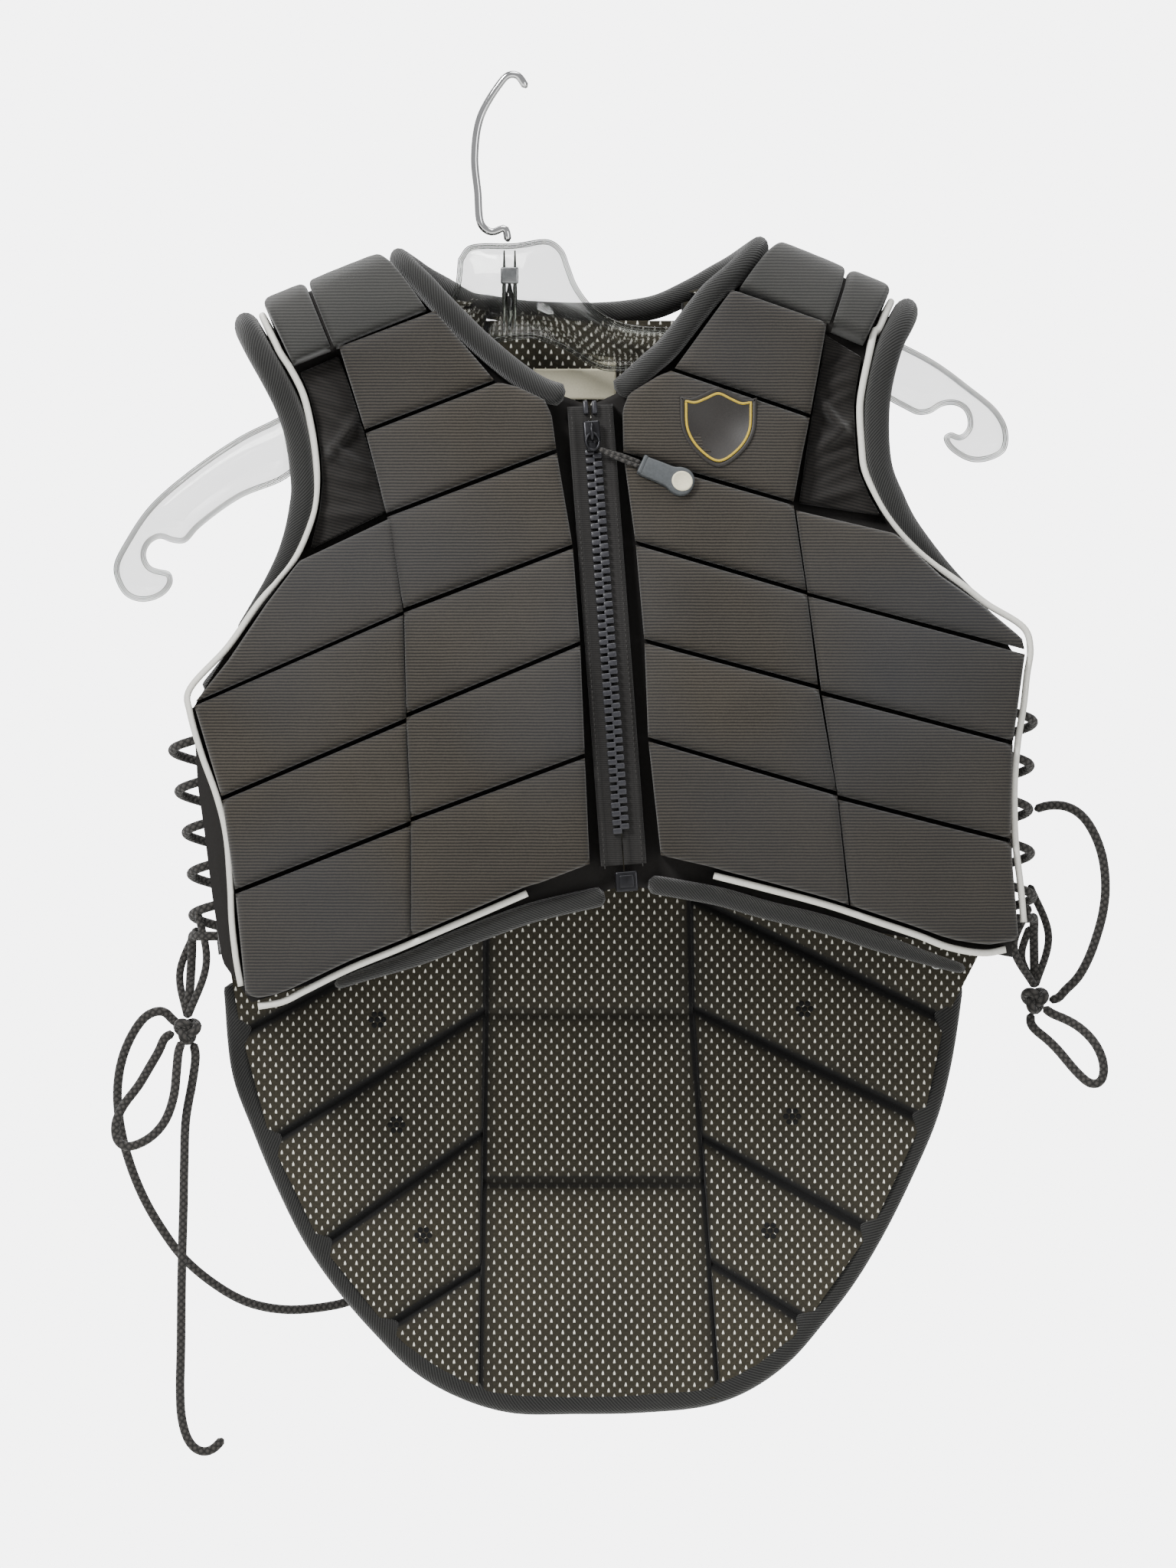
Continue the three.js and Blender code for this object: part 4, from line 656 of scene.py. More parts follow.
def ribbed_cloth(name, valley, lit_ridge, pitch, slant, depth, source="Object", rib_axis=2, lean_axis=0,
                 sheen=0.25, fuzz=0.5, blotch=0.25, cool=0.0):
    """Ribbed cloth: even ribs a pitch apart with painted shade in their valleys and a painted highlight on
    their ridges, soft worn blotches and short loose fibres.
    """
    material, tree, shader = surface(name)
    vector, axes = coordinate(tree, source)
    lean = add(tree, "ShaderNodeMath", {0: axes[lean_axis], 1: slant}, operation="MULTIPLY")
    place = add(tree, "ShaderNodeMath", {0: axes[rib_axis], 1: lean}, operation="ADD")
    wander = add(tree, "ShaderNodeTexNoise", {"Vector": vector, "Scale": 90.0, "Detail": 2.0})
    wander = add(tree, "ShaderNodeMath", {0: wander, 1: 0.35 * pitch, 2: place}, operation="MULTIPLY_ADD")
    phase = add(tree, "ShaderNodeMath", {0: wander, 1: 2 * math.pi / pitch}, operation="MULTIPLY")
    wave = add(tree, "ShaderNodeMath", {0: phase}, operation="SINE")
    rib = add(tree, "ShaderNodeMapRange", {"Value": wave, "From Min": -1.0, "From Max": 0.7})
    grain = add(tree, "ShaderNodeTexNoise", {"Vector": vector, "Scale": 1500.0, "Detail": 3.0})
    wear = add(tree, "ShaderNodeTexNoise", {
        "Vector": vector, "Scale": 16.0, "Detail": 4.0, "Roughness": 0.6})
    amount = add(tree, "ShaderNodeMath", {0: grain, 1: fuzz, 2: -fuzz / 2}, operation="MULTIPLY_ADD")
    amount = add(tree, "ShaderNodeMath", {0: rib, 1: 0.55, 2: amount}, operation="MULTIPLY_ADD")
    blot = add(tree, "ShaderNodeMath", {0: wear, 1: blotch * 2, 2: -blotch * 0.9}, operation="MULTIPLY_ADD")
    amount = add(tree, "ShaderNodeMath", {0: amount, 1: blot}, operation="ADD", use_clamp=True)
    # The valley colour is painted shade and the ridge colour a painted highlight of the ribs
    colour = add(tree, "ShaderNodeMix", {0: amount, 6: linear(valley), 7: linear(lit_ridge)}, data_type="RGBA")
    colour = colour.node.outputs[2]
    if cool:
        patch = add(tree, "ShaderNodeTexNoise", {"Vector": vector, "Scale": 7.0, "Detail": 1.0})
        patch = add(tree, "ShaderNodeMapRange", {"Value": patch, "From Min": 0.42, "From Max": 0.65,
                                                 "To Max": cool})
        tint = add(tree, "ShaderNodeMix", {0: patch, 6: colour, 7: linear("#33363c")}, data_type="RGBA")
        colour = tint.node.outputs[2]
    bumps = add(tree, "ShaderNodeMath", {0: grain, 1: 0.35, 2: rib}, operation="MULTIPLY_ADD")
    normal = add(tree, "ShaderNodeBump", {"Strength": 1.0, "Distance": depth, "Height": bumps})
    rough = add(tree, "ShaderNodeMapRange", {"Value": wear, "To Min": 0.72, "To Max": 0.9})
    set_inputs(tree, shader, {
        "Base Color": colour, "Roughness": rough, "Normal": normal, "Sheen Weight": sheen,
        "Sheen Roughness": 0.45, "Specular IOR Level": 0.3,
    })
    return material


def twill_tape():
    """Bias-cut twill binding: diagonal ribs that run round the roll, with a painted highlight on each rib
    and painted shade between them.
    """
    return ribbed_cloth("twill_binding_cloth", "#0b0b0b", "#41413f", 1.7 * MM, 0.9, 0.22 * MM,
                        source="UV", rib_axis=0, lean_axis=1, sheen=0.3, fuzz=0.35, blotch=0.18)


def mesh_cloth():
    """Spacer mesh lining: olive-black knit with rows of small pale openings, each a narrow drop."""
    material, tree, shader = surface("spacer_mesh_lining")
    vector, axes = coordinate(tree, "UV")
    pitch = 5.5 * MM
    row = 2.8 * MM
    v = add(tree, "ShaderNodeMath", {0: axes[1], 1: 1 / row}, operation="MULTIPLY")
    row_number = add(tree, "ShaderNodeMath", {0: v}, operation="FLOOR")
    odd = add(tree, "ShaderNodeMath", {0: row_number, 1: 0.5}, operation="MULTIPLY")
    u = add(tree, "ShaderNodeMath", {0: axes[0], 1: 1 / pitch, 2: odd}, operation="MULTIPLY_ADD")
    in_u = add(tree, "ShaderNodeMath", {0: u, 1: 1.0}, operation="FLOORED_MODULO")
    in_v = add(tree, "ShaderNodeMath", {0: v, 1: 1.0}, operation="FLOORED_MODULO")
    x = add(tree, "ShaderNodeMath", {0: in_u, 1: pitch, 2: -pitch / 2}, operation="MULTIPLY_ADD")
    z = add(tree, "ShaderNodeMath", {0: in_v, 1: row, 2: -row / 2}, operation="MULTIPLY_ADD")
    far = add(tree, "ShaderNodeMath", {0: x}, operation="ABSOLUTE")
    leg = add(tree, "ShaderNodeMath", {0: z, 1: 0.28, 2: far}, operation="MULTIPLY_ADD")
    narrow = add(tree, "ShaderNodeMath", {0: leg, 1: 1 / (0.44 * MM)}, operation="MULTIPLY")
    tall = add(tree, "ShaderNodeMath", {0: z, 1: 1 / (1.2 * MM)}, operation="MULTIPLY")
    square = add(tree, "ShaderNodeMath", {0: narrow, 1: narrow}, operation="MULTIPLY")
    reach = add(tree, "ShaderNodeMath", {0: tall, 1: tall, 2: square}, operation="MULTIPLY_ADD")
    grain = add(tree, "ShaderNodeTexNoise", {"Vector": vector, "Scale": 900.0, "Detail": 2.0})
    uneven = add(tree, "ShaderNodeMath", {0: grain, 1: 0.9, 2: reach}, operation="MULTIPLY_ADD")
    dot = add(tree, "ShaderNodeMapRange", {"Value": uneven, "From Min": 1.05, "From Max": 1.7,
                                           "To Min": 1.0, "To Max": 0.0})
    wear = add(tree, "ShaderNodeTexNoise", {"Vector": vector, "Scale": 14.0, "Detail": 3.0})
    ground = add(tree, "ShaderNodeMix", {0: wear, 6: linear("#2a271e"), 7: linear("#4e4838")},
                 data_type="RGBA")
    fibre = add(tree, "ShaderNodeMix", {0: grain, 6: linear("#1b1912"), 7: ground.node.outputs[2]},
                data_type="RGBA")
    # The seam attribute paints the lining black along its seams, partly as painted shade in the grooves, and
    # adds painted shade beside them
    seam = add(tree, "ShaderNodeAttribute", attribute_name="seam").node.outputs["Fac"]
    open_part = add(tree, "ShaderNodeMath", {0: 1.0, 1: seam}, operation="SUBTRACT")
    dot = add(tree, "ShaderNodeMath", {0: dot, 1: open_part}, operation="MULTIPLY")
    colour = add(tree, "ShaderNodeMix", {0: dot, 6: fibre.node.outputs[2], 7: linear("#f2f0e6")},
                 data_type="RGBA")
    colour = add(tree, "ShaderNodeMix", {0: seam, 6: colour.node.outputs[2], 7: linear("#050505")},
                 data_type="RGBA")
    height = add(tree, "ShaderNodeMath", {0: dot, 1: -1.0, 2: grain}, operation="MULTIPLY_ADD")
    normal = add(tree, "ShaderNodeBump", {"Strength": 0.8, "Distance": 0.25 * MM, "Height": height})
    set_inputs(tree, shader, {
        "Base Color": colour.node.outputs[2], "Roughness": 0.8, "Normal": normal,
        "Specular IOR Level": 0.25, "Sheen Weight": 0.15,
    })
    return material


def braided_cord(name, valley, lit_ridge, girth, pitch):
    """Braided polyester cord: crossing strands that stand as small lozenges, with a painted highlight on
    each and painted shade between them.
    """
    material, tree, shader = surface(name)
    vector, axes = coordinate(tree, "UV")
    around = add(tree, "ShaderNodeMath", {0: axes[1], 1: 4 / girth}, operation="MULTIPLY")
    one = add(tree, "ShaderNodeMath", {0: axes[0], 1: 1 / pitch, 2: around}, operation="MULTIPLY_ADD")
    two = add(tree, "ShaderNodeMath", {0: axes[0], 1: 1 / pitch}, operation="MULTIPLY")
    two = add(tree, "ShaderNodeMath", {0: two, 1: around}, operation="SUBTRACT")
    waves = []
    for turn in (one, two):
        angle = add(tree, "ShaderNodeMath", {0: turn, 1: math.pi}, operation="MULTIPLY")
        waves.append(add(tree, "ShaderNodeMath", {0: angle}, operation="SINE"))
    cell = add(tree, "ShaderNodeMath", {0: waves[0], 1: waves[1]}, operation="MULTIPLY")
    cell = add(tree, "ShaderNodeMath", {0: cell}, operation="ABSOLUTE")
    grain = add(tree, "ShaderNodeTexNoise", {"Vector": vector, "Scale": 2500.0, "Detail": 2.0})
    height = add(tree, "ShaderNodeMath", {0: grain, 1: 0.3, 2: cell}, operation="MULTIPLY_ADD")
    # The valley colour is painted shade between the strands and the ridge colour a painted highlight on them
    colour = add(tree, "ShaderNodeMix", {0: cell, 6: linear(valley), 7: linear(lit_ridge)}, data_type="RGBA")
    normal = add(tree, "ShaderNodeBump", {"Strength": 1.0, "Distance": 0.45 * MM, "Height": height})
    set_inputs(tree, shader, {
        "Base Color": colour.node.outputs[2], "Roughness": 0.75, "Normal": normal,
        "Specular IOR Level": 0.3, "Sheen Weight": 0.2,
    })
    return material


def plain(name, low, high, rough, grain_scale, depth, **sockets):
    """A moulded, cast or woven surface of nearly one colour, with a fine grain."""
    material, tree, shader = surface(name)
    vector, _ = coordinate(tree, "Object")
    grain = add(tree, "ShaderNodeTexNoise", {"Vector": vector, "Scale": grain_scale, "Detail": 3.0})
    colour = add(tree, "ShaderNodeMix", {0: grain, 6: linear(low), 7: linear(high)}, data_type="RGBA")
    rougher = add(tree, "ShaderNodeMapRange", {
        "Value": grain, "To Min": rough * 0.85, "To Max": rough * 1.15})
    normal = add(tree, "ShaderNodeBump", {"Strength": 1.0, "Distance": depth, "Height": grain})
    set_inputs(tree, shader, {
        "Base Color": colour.node.outputs[2], "Roughness": rougher, "Normal": normal, **sockets})
    return material


# In the ribbed cloths and the cord the valley colour is painted shade and the ridge colour a painted
# highlight
FINISH = {
    # Ribbed polyester knit on foam: fine level ribs, brownish where it is worn
    "quilted": ribbed_cloth("ribbed_knit_on_foam", "#171411", "#524c43", 1.5 * MM, 0.0, 0.16 * MM,
                            cool=0.4),
    # The same knit, newer and greyer on the shoulders
    "shoulder": ribbed_cloth("ribbed_knit_shoulder", "#242423", "#4b4a47", 1.5 * MM, 0.0, 0.06 * MM,
                             fuzz=0.4),
    # Stretch knit, gathered: closer ribs that follow its folds
    "stretch": ribbed_cloth("stretch_knit", "#0d0c0b", "#2f2b28", 1.6 * MM, 0.25, 0.1 * MM,
                            source="UV", rib_axis=1, lean_axis=0),
    "twill": twill_tape(),
    "mesh": mesh_cloth(),
    # Coated piping tape: smooth, cream white, faintly worn
    "piping": plain("coated_piping_tape", "#dcdad0", "#f6f5ee", 0.5, 700.0, 0.05 * MM),
    # Woven zip tape: tight black weave
    "tape": ribbed_cloth("woven_zip_tape", "#131211", "#312f2e", 1.0 * MM, 0.0, 0.06 * MM, fuzz=0.3),
    # Near-black cloth under the pads, seen in the channels between them: painted shade of the channels
    "channel_shade": plain("black_backing_cloth", "#100e0d", "#211e1c", 0.9, 900.0, 0.05 * MM),
    # Moulded acetal teeth and stops: dark, waxy shine
    "teeth": plain("moulded_acetal", "#232327", "#3b3b40", 0.3, 900.0, 0.02 * MM),
    # Black painted zinc casting: smooth, with a dull metal shine
    "casting": plain("painted_zinc_casting", "#1c1c1e", "#303034", 0.3, 400.0, 0.03 * MM, Metallic=0.6),
    # Soft PVC grip: mid grey, satin
    "grip": plain("soft_pvc_grip", "#3d4042", "#53575a", 0.5, 900.0, 0.03 * MM),
    # Shadow inside a punched hole
    "hole": plain("dark_hole", "#040404", "#090909", 0.95, 900.0, 0.02 * MM),
    # Moulded rubber patch: near black, with a fine grain
    "badge": plain("moulded_rubber_patch", "#191614", "#2b2724", 0.55, 1400.0, 0.04 * MM),
    # Paint on its border line: dull ochre
    "line": plain("ochre_painted_line", "#a88d24", "#cdb13c", 0.5, 900.0, 0.03 * MM),
    # Nickel plated steel of the eyelet and the hook's clip: a soft grey shine
    "nickel": plain("nickel_plated_steel", "#8d8f90", "#b4b6b7", 0.25, 500.0, 0.02 * MM, Metallic=1.0),
    # Cream polyester of the label and the grip's end: matt and finely woven
    "patch": plain("cream_polyester_patch", "#d8d1b4", "#efe9d0", 0.7, 1200.0, 0.08 * MM),
    # Polyester thread: near black, only just seen on the tape
    "thread": plain("polyester_thread", "#1a1918", "#3a3836", 0.6, 1500.0, 0.05 * MM),
    # Braided lace cord: dull black with a fine raised braid
    "cord": braided_cord("braided_polyester_cord", "#131211", "#474441", math.pi * LACE, 3.2 * MM),
    # Chromed steel wire: bright, with sharp reflections
    "chrome": plain("chromed_steel_wire", "#d9dadb", "#eeeeef", 0.09, 300.0, 0.01 * MM, Metallic=1.0),
}


def clear_plastic(name, colour, alpha, ior):
    """Clear moulded polystyrene: faint flow marks, almost no colour."""
    material, tree, shader = surface(name)
    vector, _ = coordinate(tree, "Object")
    flow = add(tree, "ShaderNodeTexNoise", {"Vector": vector, "Scale": 60.0, "Detail": 2.0})
    normal = add(tree, "ShaderNodeBump", {"Strength": 0.6, "Distance": 0.25 * MM, "Height": flow})
    set_inputs(tree, shader, {
        "Base Color": linear(colour), "Roughness": 0.05, "IOR": ior, "Transmission Weight": 1.0,
        "Alpha": alpha, "Normal": normal,
    })
    return material


# The flat faces of the hanger are seen through, and its edges and ridges are grey lines of painted
# refraction and reflection
FINISH["clear"] = clear_plastic("clear_moulded_polystyrene", "#f4f6f2", 0.4, 1.3)
FINISH["clear_edge_reflection"] = clear_plastic("clear_polystyrene_edge", "#4a4d47", 0.95, 1.5)


# Free cords
SMOOTH_PASSES = 4


def cord_places(rows):
    return [np.array([r[0] * HALF_CHEST + VEST_X, r[2] * SHOULDER_RADIUS, VEST_Z - r[1] * VEST_LENGTH])
            for r in rows]


KNOT_MIDDLE = {side: cord_places([KNOTS[side]])[0] for side in SIDES}


def from_knot(side, point):
    """A cord's first two points at a knot, straight out of it towards a point."""
    out = point - KNOT_MIDDLE[side]
    out /= np.linalg.norm(out)
    return [KNOT_MIDDLE[side] + out * (KNOT / 2 + KNOT_GAP + more) for more in (0, LACE)]


def cord_route(name):
    points = cord_places(CORDS[name])
    first, last = CORD_ENDS[name]
    if first:
        points[:1] = from_knot(first, points[0])
    if last:
        points[-1:] = from_knot(last, points[-1])[::-1]
    line = smooth_line(points, 1.5 * MM)
    for _ in range(SMOOTH_PASSES):
        line[2:-2] = (line[1:-3] + 2 * line[2:-2] + line[3:-1]) / 4
    return line


def free_cords():
    for name, length in CORD_LENGTHS.items():
        line = cord_route(name)
        piece = round_bar(f"braid_{name}", line, LACE / 2, 14)
        finished(piece, FINISH["cord"], "cord", f"cord_{name}")


free_cords()


# Pads and sheets
def near_edges(length, step):
    """Shares along a side of that length, closer together near its ends."""
    near = np.array([0, 0.3, 0.8, 1.5, 2.4, 3.6]) * MM
    count = max(2, round((length - 2 * near[-1]) / step))
    middle = np.linspace(near[-1], length - near[-1], count + 1)
    return np.concatenate([near[:-1], middle, (length - near[:-1])[::-1]]) / length


def rounding(distance, radius):
    """How far a rounded edge lies below the face, at a distance from the edge."""
    left = np.clip(radius - distance, 0, radius)
    return radius - np.sqrt(radius ** 2 - left ** 2)


def coons(bottom, top, start, end, a, b):
    """Places between four edges, a running along the bottom and b upwards."""
    under, over = line_at(bottom, a)[None], line_at(top, a)[None]
    first, second = line_at(start, b)[:, None], line_at(end, b)[:, None]
    a, b = a[None, :, None], b[:, None, None]
    corners = ((1 - a) * ((1 - b) * under[0, 0] + b * over[0, 0])
               + a * ((1 - b) * under[0, -1] + b * over[0, -1]))
    return (1 - b) * under + b * over + (1 - a) * first + a * second - corners


def pad(name, bottom, top, start=None, end=None, step=2.6 * MM, radius=3.8 * MM, crown=2.0 * MM,
        level=None, seed=1, puff=0.5 * MM, wall=None, groove=GROOVE):
    """A foam pad under cloth: rounded edges, a low crown, and slight puckers along its seams. With a
    wall it is a single cloth of that thickness."""
    start = start or [bottom[0], top[0]]
    end = end or [bottom[-1], top[-1]]
    width = (line_length(bottom) + line_length(top)) / 2
    height = (line_length(start) + line_length(end)) / 2
    a = near_edges(width - groove, step)
    b = near_edges(height - groove, step)
    inset_a, inset_b = groove / 2 / width, groove / 2 / height
    place = coons(bottom, top, start, end, inset_a + a * (1 - 2 * inset_a), inset_b + b * (1 - 2 * inset_b))
    da = np.minimum(a, 1 - a)[None, :] * (width - groove)
    db = np.minimum(b, 1 - b)[:, None] * (height - groove)
    from_rim = radius - np.hypot(np.maximum(radius - da, 0), np.maximum(radius - db, 0))
    drop = rounding(np.clip(from_rim, 0, None), radius)
    swell = crown * (1 - (2 * a[None, :] - 1) ** 4) * (1 - (2 * b[:, None] - 1) ** 4)
    waves = puff * cloth_ripple(place, 30 * MM, seed) * np.clip(from_rim / (8 * MM), 0, 1)
    near_rim = np.exp(-np.maximum(from_rim, 0) / (4 * MM))
    pucker = 0.35 * MM * cloth_ripple(place, 4.5 * MM, seed + 3) * near_rim
    rise = swell - drop + waves + pucker * (from_rim > 0.2 * MM)
    if level is not None:
        rise = rise + level(a[None, :], b[:, None])
    outer = on_vest(place[..., 0], place[..., 1], rise, FRONT)
    under = rise - wall if wall else np.full(place.shape[:2], -FOAM)
    inner = on_vest(place[..., 0], place[..., 1], under, FRONT)
    piece = shell(name, outer, inner, place)
    piece["cloth_area"] = grid_area(outer)
    return piece


def beside_piping(side, place):
    """A pad corner moved level with the vest's edge to where the piping starts."""
    across = spots(PIPING[f"edge_{side}"])
    x = float(np.interp(-place[1], [-z for _, z in across], [x for x, _ in across]))
    return x - SIGN[side] * 2.3 * MM, place[1]


def above_hem(side, line):
    """A bottom edge from one place to another, lowered to the hem's piping where there is some."""
    rows = sorted(spots(PIPING[f"hem_{side}"]))
    xs, zs = [row[0] for row in rows], [row[1] + 2.4 * MM for row in rows]
    dense = line_at(line, np.linspace(0, 1, 12))
    return [(x, float(np.interp(x, xs, zs)) if xs[0] <= x <= xs[-1] else z) for x, z in dense]


def front_pads():
    inner = ["inner_1", "inner_2", "inner_3", "inner_4", "inner_5", "inner_6"]
    outer = ["outer_a", "outer_b", "outer_c", "outer_d"]
    for side in SIDES:
        tables = GROOVES[side]
        for rows, names in ((tables["inner"], inner), (tables["outer"], outer)):
            for i, name in enumerate(names):
                top = spots([rows[i][:2], rows[i][2:]])
                bottom = spots([rows[i + 1][:2], rows[i + 1][2:]])
                if rows is tables["outer"]:
                    top[1] = beside_piping(side, top[1]) if i else top[1]
                    bottom[-1] = beside_piping(side, bottom[-1])
                start = end = None
                if name == "outer_d":
                    bottom[1:1] = spots(tables["hem_bow"])
                if i == len(names) - 1:
                    bottom = above_hem(side, bottom)
                if name == "inner_2":
                    start = [bottom[0], *spots(tables["neck_knee"])[::-1], top[0]]
                if name == "outer_a":
                    end = [bottom[-1], *spots(tables["arm_knee"])[::-1], top[-1]]
                piece = pad(f"foam_{name}_{side}", bottom, top, start, end, seed=i + len(name) + SIGN[side])
                finished(piece, FINISH["quilted"], "quilted_fabric", f"pad_{name}_{side}", fill=0.75)


# Half the gap between the blocks as a share of the roll's radius, and the strip in the channel
BLOCK_GAP = 0.02
CHANNEL_HALF = 1.4 * MM
CHANNEL_TOP = -4.5 * MM


def bowed(low, top, first, count):
    """Turns over the shoulder roll, each with its place along it: low at both ends, top at the crest."""
    turns = np.linspace(first, 180 - first, count)
    return [((low + (top - low) * (1 - abs(t - 90) / (90 - first))) * SHOULDER_RADIUS, t) for t in turns]


def shoulder_channel(side, first, low, top):
    """The near-black strip in the channel between the two blocks of a shoulder: painted shade of the
    channel.
    """
    keys = [over_roll(side, along, turn) for along, turn in bowed(low, top, first, 9)]
    section = [(-CHANNEL_HALF, -FOAM), (CHANNEL_HALF, -FOAM), (CHANNEL_HALF, CHANNEL_TOP),
               (-CHANNEL_HALF, CHANNEL_TOP)]
    channel = strip(f"shoulder_channel_{side}", keys, section, dome=0)
    finished(channel, FINISH["channel_shade"], "shoulder_fabric")


def shoulder_pads():
    for side in SIDES:
        inner, outer = SHOULDER_BLOCKS[side]
        middle_low, middle_top = (inner[4] + outer[2]) / 2, (inner[5] + outer[3]) / 2
        blocks = [
            (*inner[:4], middle_low + BLOCK_GAP, middle_top + BLOCK_GAP),
            (*outer[:2], middle_low - BLOCK_GAP, middle_top - BLOCK_GAP, *outer[4:]),
        ]
        shoulder_channel(side, inner[1], middle_low, middle_top)
        for name, low, neck_low, neck_top, arm_low, arm_top in blocks:
            start = [strap_spot(side, along, t) for along, t in bowed(neck_low, neck_top, low, 7)]
            end = [strap_spot(side, along, t) for along, t in bowed(arm_low, arm_top, low, 7)]
            piece = pad(f"foam_shoulder_{name}_{side}", [start[0], end[0]], [start[-1], end[-1]], start, end,
                        radius=3.0 * MM, crown=0.6 * MM, seed=5, puff=0.3 * MM, groove=0.5 * MM)
            finished(piece, FINISH["shoulder"], "shoulder_fabric", f"shoulder_block_{name}_{side}", fill=0.9)


# Folds of the stretch insets: place up, slant and half width as shares of the inset, and the height
# in millimetres, third in each row
FOLDS = [
    (0.1, 0.2, 2.4, 0.04), (0.2, 0.3, 1.4, 0.03), (0.31, 0.25, 2.6, 0.04), (0.44, 0.35, 4.8, 0.05),
    (0.55, -0.12, 4.6, 0.04), (0.66, 0.28, 1.8, 0.035), (0.77, 0.22, 3.0, 0.045), (0.88, 0.3, 1.6, 0.03),
]
INSET_LEVEL = -14 * MM
INSET_BULGE = 2.5 * MM
TAB_REACH = 13 * MM


def gathers(a, b):
    """The height of an inset's cloth at shares across and up it: a low bulge and its folds."""
    rise = INSET_LEVEL + INSET_BULGE * np.sin(math.pi * a) * np.sin(math.pi * b)
    for at, slant, high, wide in FOLDS:
        away = (b - at - slant * (a - 0.5)) / wide
        rise = rise + high * MM * np.exp(-away * away) * (0.35 + np.sin(math.pi * a))
    return rise


def stretch_insets():
    for side in SIDES:
        start, end = spots(INSET[side]["divider"]), spots(INSET[side]["arm"])
        piece = pad(f"stretch_panel_{side}", [start[0], end[0]], [start[-1], end[-1]], start, end,
                    step=1.6 * MM, radius=1.2 * MM, crown=0.0, level=gathers, seed=9, puff=1.1 * MM,
                    wall=1.4 * MM)
        finished(piece, FINISH["stretch"], "stretch_fabric", f"stretch_inset_{side}")


# Rolled edges
def keys_on(rows, face, lift=0.0):
    return [(x, z, face, lift) for x, z in spots(rows)]


def strap_keys(side, column):
    reach = 1 if column == "neck" else ARM_REACH[side]
    return [over_roll(side, row[STRAP_COLUMN[column]] * reach * SHOULDER_RADIUS, row[0]) for row in STRAP]


def strip_frames(keys, level, step):
    """The centre line of a strip with its outward and sideways directions, in even steps."""
    rows = []
    for x, z, face, lift in keys:
        high = level + lift
        middle = on_vest(x, z, high, face)
        out = on_vest(x, z, high + MM, face) - middle
        square = skin_normal(np.array(x), np.array(z), np.array(high), face)
        rows.append(np.concatenate([middle, out / np.linalg.norm(out), square]))
    rows = np.array(rows)
    line = smooth_line(rows[:, :3], step)
    along = arc_lengths(line)
    at = [along[np.argmin(np.linalg.norm(line - p, axis=1))] for p in rows[:, :3]]
    at = np.maximum.accumulate(np.array(at))
    out, square = (np.stack([np.interp(along, at, rows[:, k]) for k in columns], axis=1)
                   for columns in ((3, 4, 5), (6, 7, 8)))
    tangent = np.gradient(line, axis=0)
    aside = np.cross(tangent, square)
    aside /= np.linalg.norm(aside, axis=1, keepdims=True)
    out /= np.linalg.norm(out, axis=1, keepdims=True)
    return line, aside, out, along


def strip(name, keys, section, step=2.0 * MM, width=None, dome=3 * MM):
    """A strip of one section along keys. The section is a list of (across, height) corners."""
    section = np.array(section)
    level = float(section[:, 1].min() + section[:, 1].max()) / 2
    line, aside, out, along = strip_frames(keys, level, step)
    share = along / along[-1]
    scale = np.array([width(s) for s in share]) if width else np.ones(len(line))
    if dome:
        from_end = np.minimum(along, along[-1] - along)
        scale = scale * np.sqrt(np.clip(1 - np.clip(1 - from_end / dome, 0, 1) ** 2, 0.15, 1))
    rings = (line[:, None] + scale[:, None, None] * (section[None, :, 0, None] * aside[:, None]
             + (section[None, :, 1, None] - level) * out[:, None]))
    girth = line_length(np.vstack([section, section[:1]]))
    return tube(name, rings, along, girth)


def oval(width, low, high, sides=18):
    angles = np.linspace(0, 2 * math.pi, sides, endpoint=False)
    return [(width / 2 * math.cos(t), (low + high) / 2 + (high - low) / 2 * math.sin(t)) for t in angles]


def rolls():
    over = {side: strap_keys(side, "neck")[1:-1] for side in SIDES}
    front = {side: keys_on(NECK_FRONT[side], FRONT) for side in SIDES}
    neck = [*front["right"], *over["right"], *keys_on(NECK_BACK, BACK), *over["left"][::-1],
            *front["left"][::-1]]
    piece = strip("twill_roll_neck", neck, oval(11.5 * MM, -FOAM, -1 * MM))
    finished(piece, FINISH["twill"], "twill_binding", "neck_roll", fill=0.9)
    for side in SIDES:
        arm = [*keys_on(ARM_FRONT[side][::-1], FRONT), *strap_keys(side, "arm")[1:-1],
               *keys_on(ARM_BACK[side], BACK)]
        piece = strip(f"twill_roll_arm_{side}", arm, oval(12.5 * MM, -FOAM, -2 * MM),
                      width=lambda s: min(1, 0.3 + 4 * s))
        finished(piece, FINISH["twill"], "twill_binding", f"armhole_roll_{side}", fill=0.9)
    tail = keys_on(TAIL, BACK)
    piece = strip("twill_roll_tail", tail, oval(12.5 * MM, -23 * MM, -10 * MM))
    finished(piece, FINISH["twill"], "twill_binding", "tail_roll", fill=0.9)
    widths = {"right": lambda s: min(0.8, 0.4 + s), "left": lambda s: min(0.75, 1.6 - 1.2 * s)}
    for side in SIDES:
        hem = keys_on(HEM[side], FRONT, lift=-1.8 * MM)
        piece = strip(f"twill_roll_hem_{side}", hem, oval(12 * MM, -FOAM, -7 * MM), width=widths[side])
        finished(piece, FINISH["twill"], "twill_binding", f"hem_roll_{side}", fill=0.9)


def bead(width, low, high):
    """A tape edge with a round bead on top."""
    half = width / 2
    turns = np.linspace(0, math.pi, 7)
    top = [(half * math.cos(t), high - half + half * math.sin(t)) for t in turns]
    return [(half * 0.8, low), *top, (-half * 0.8, low)]


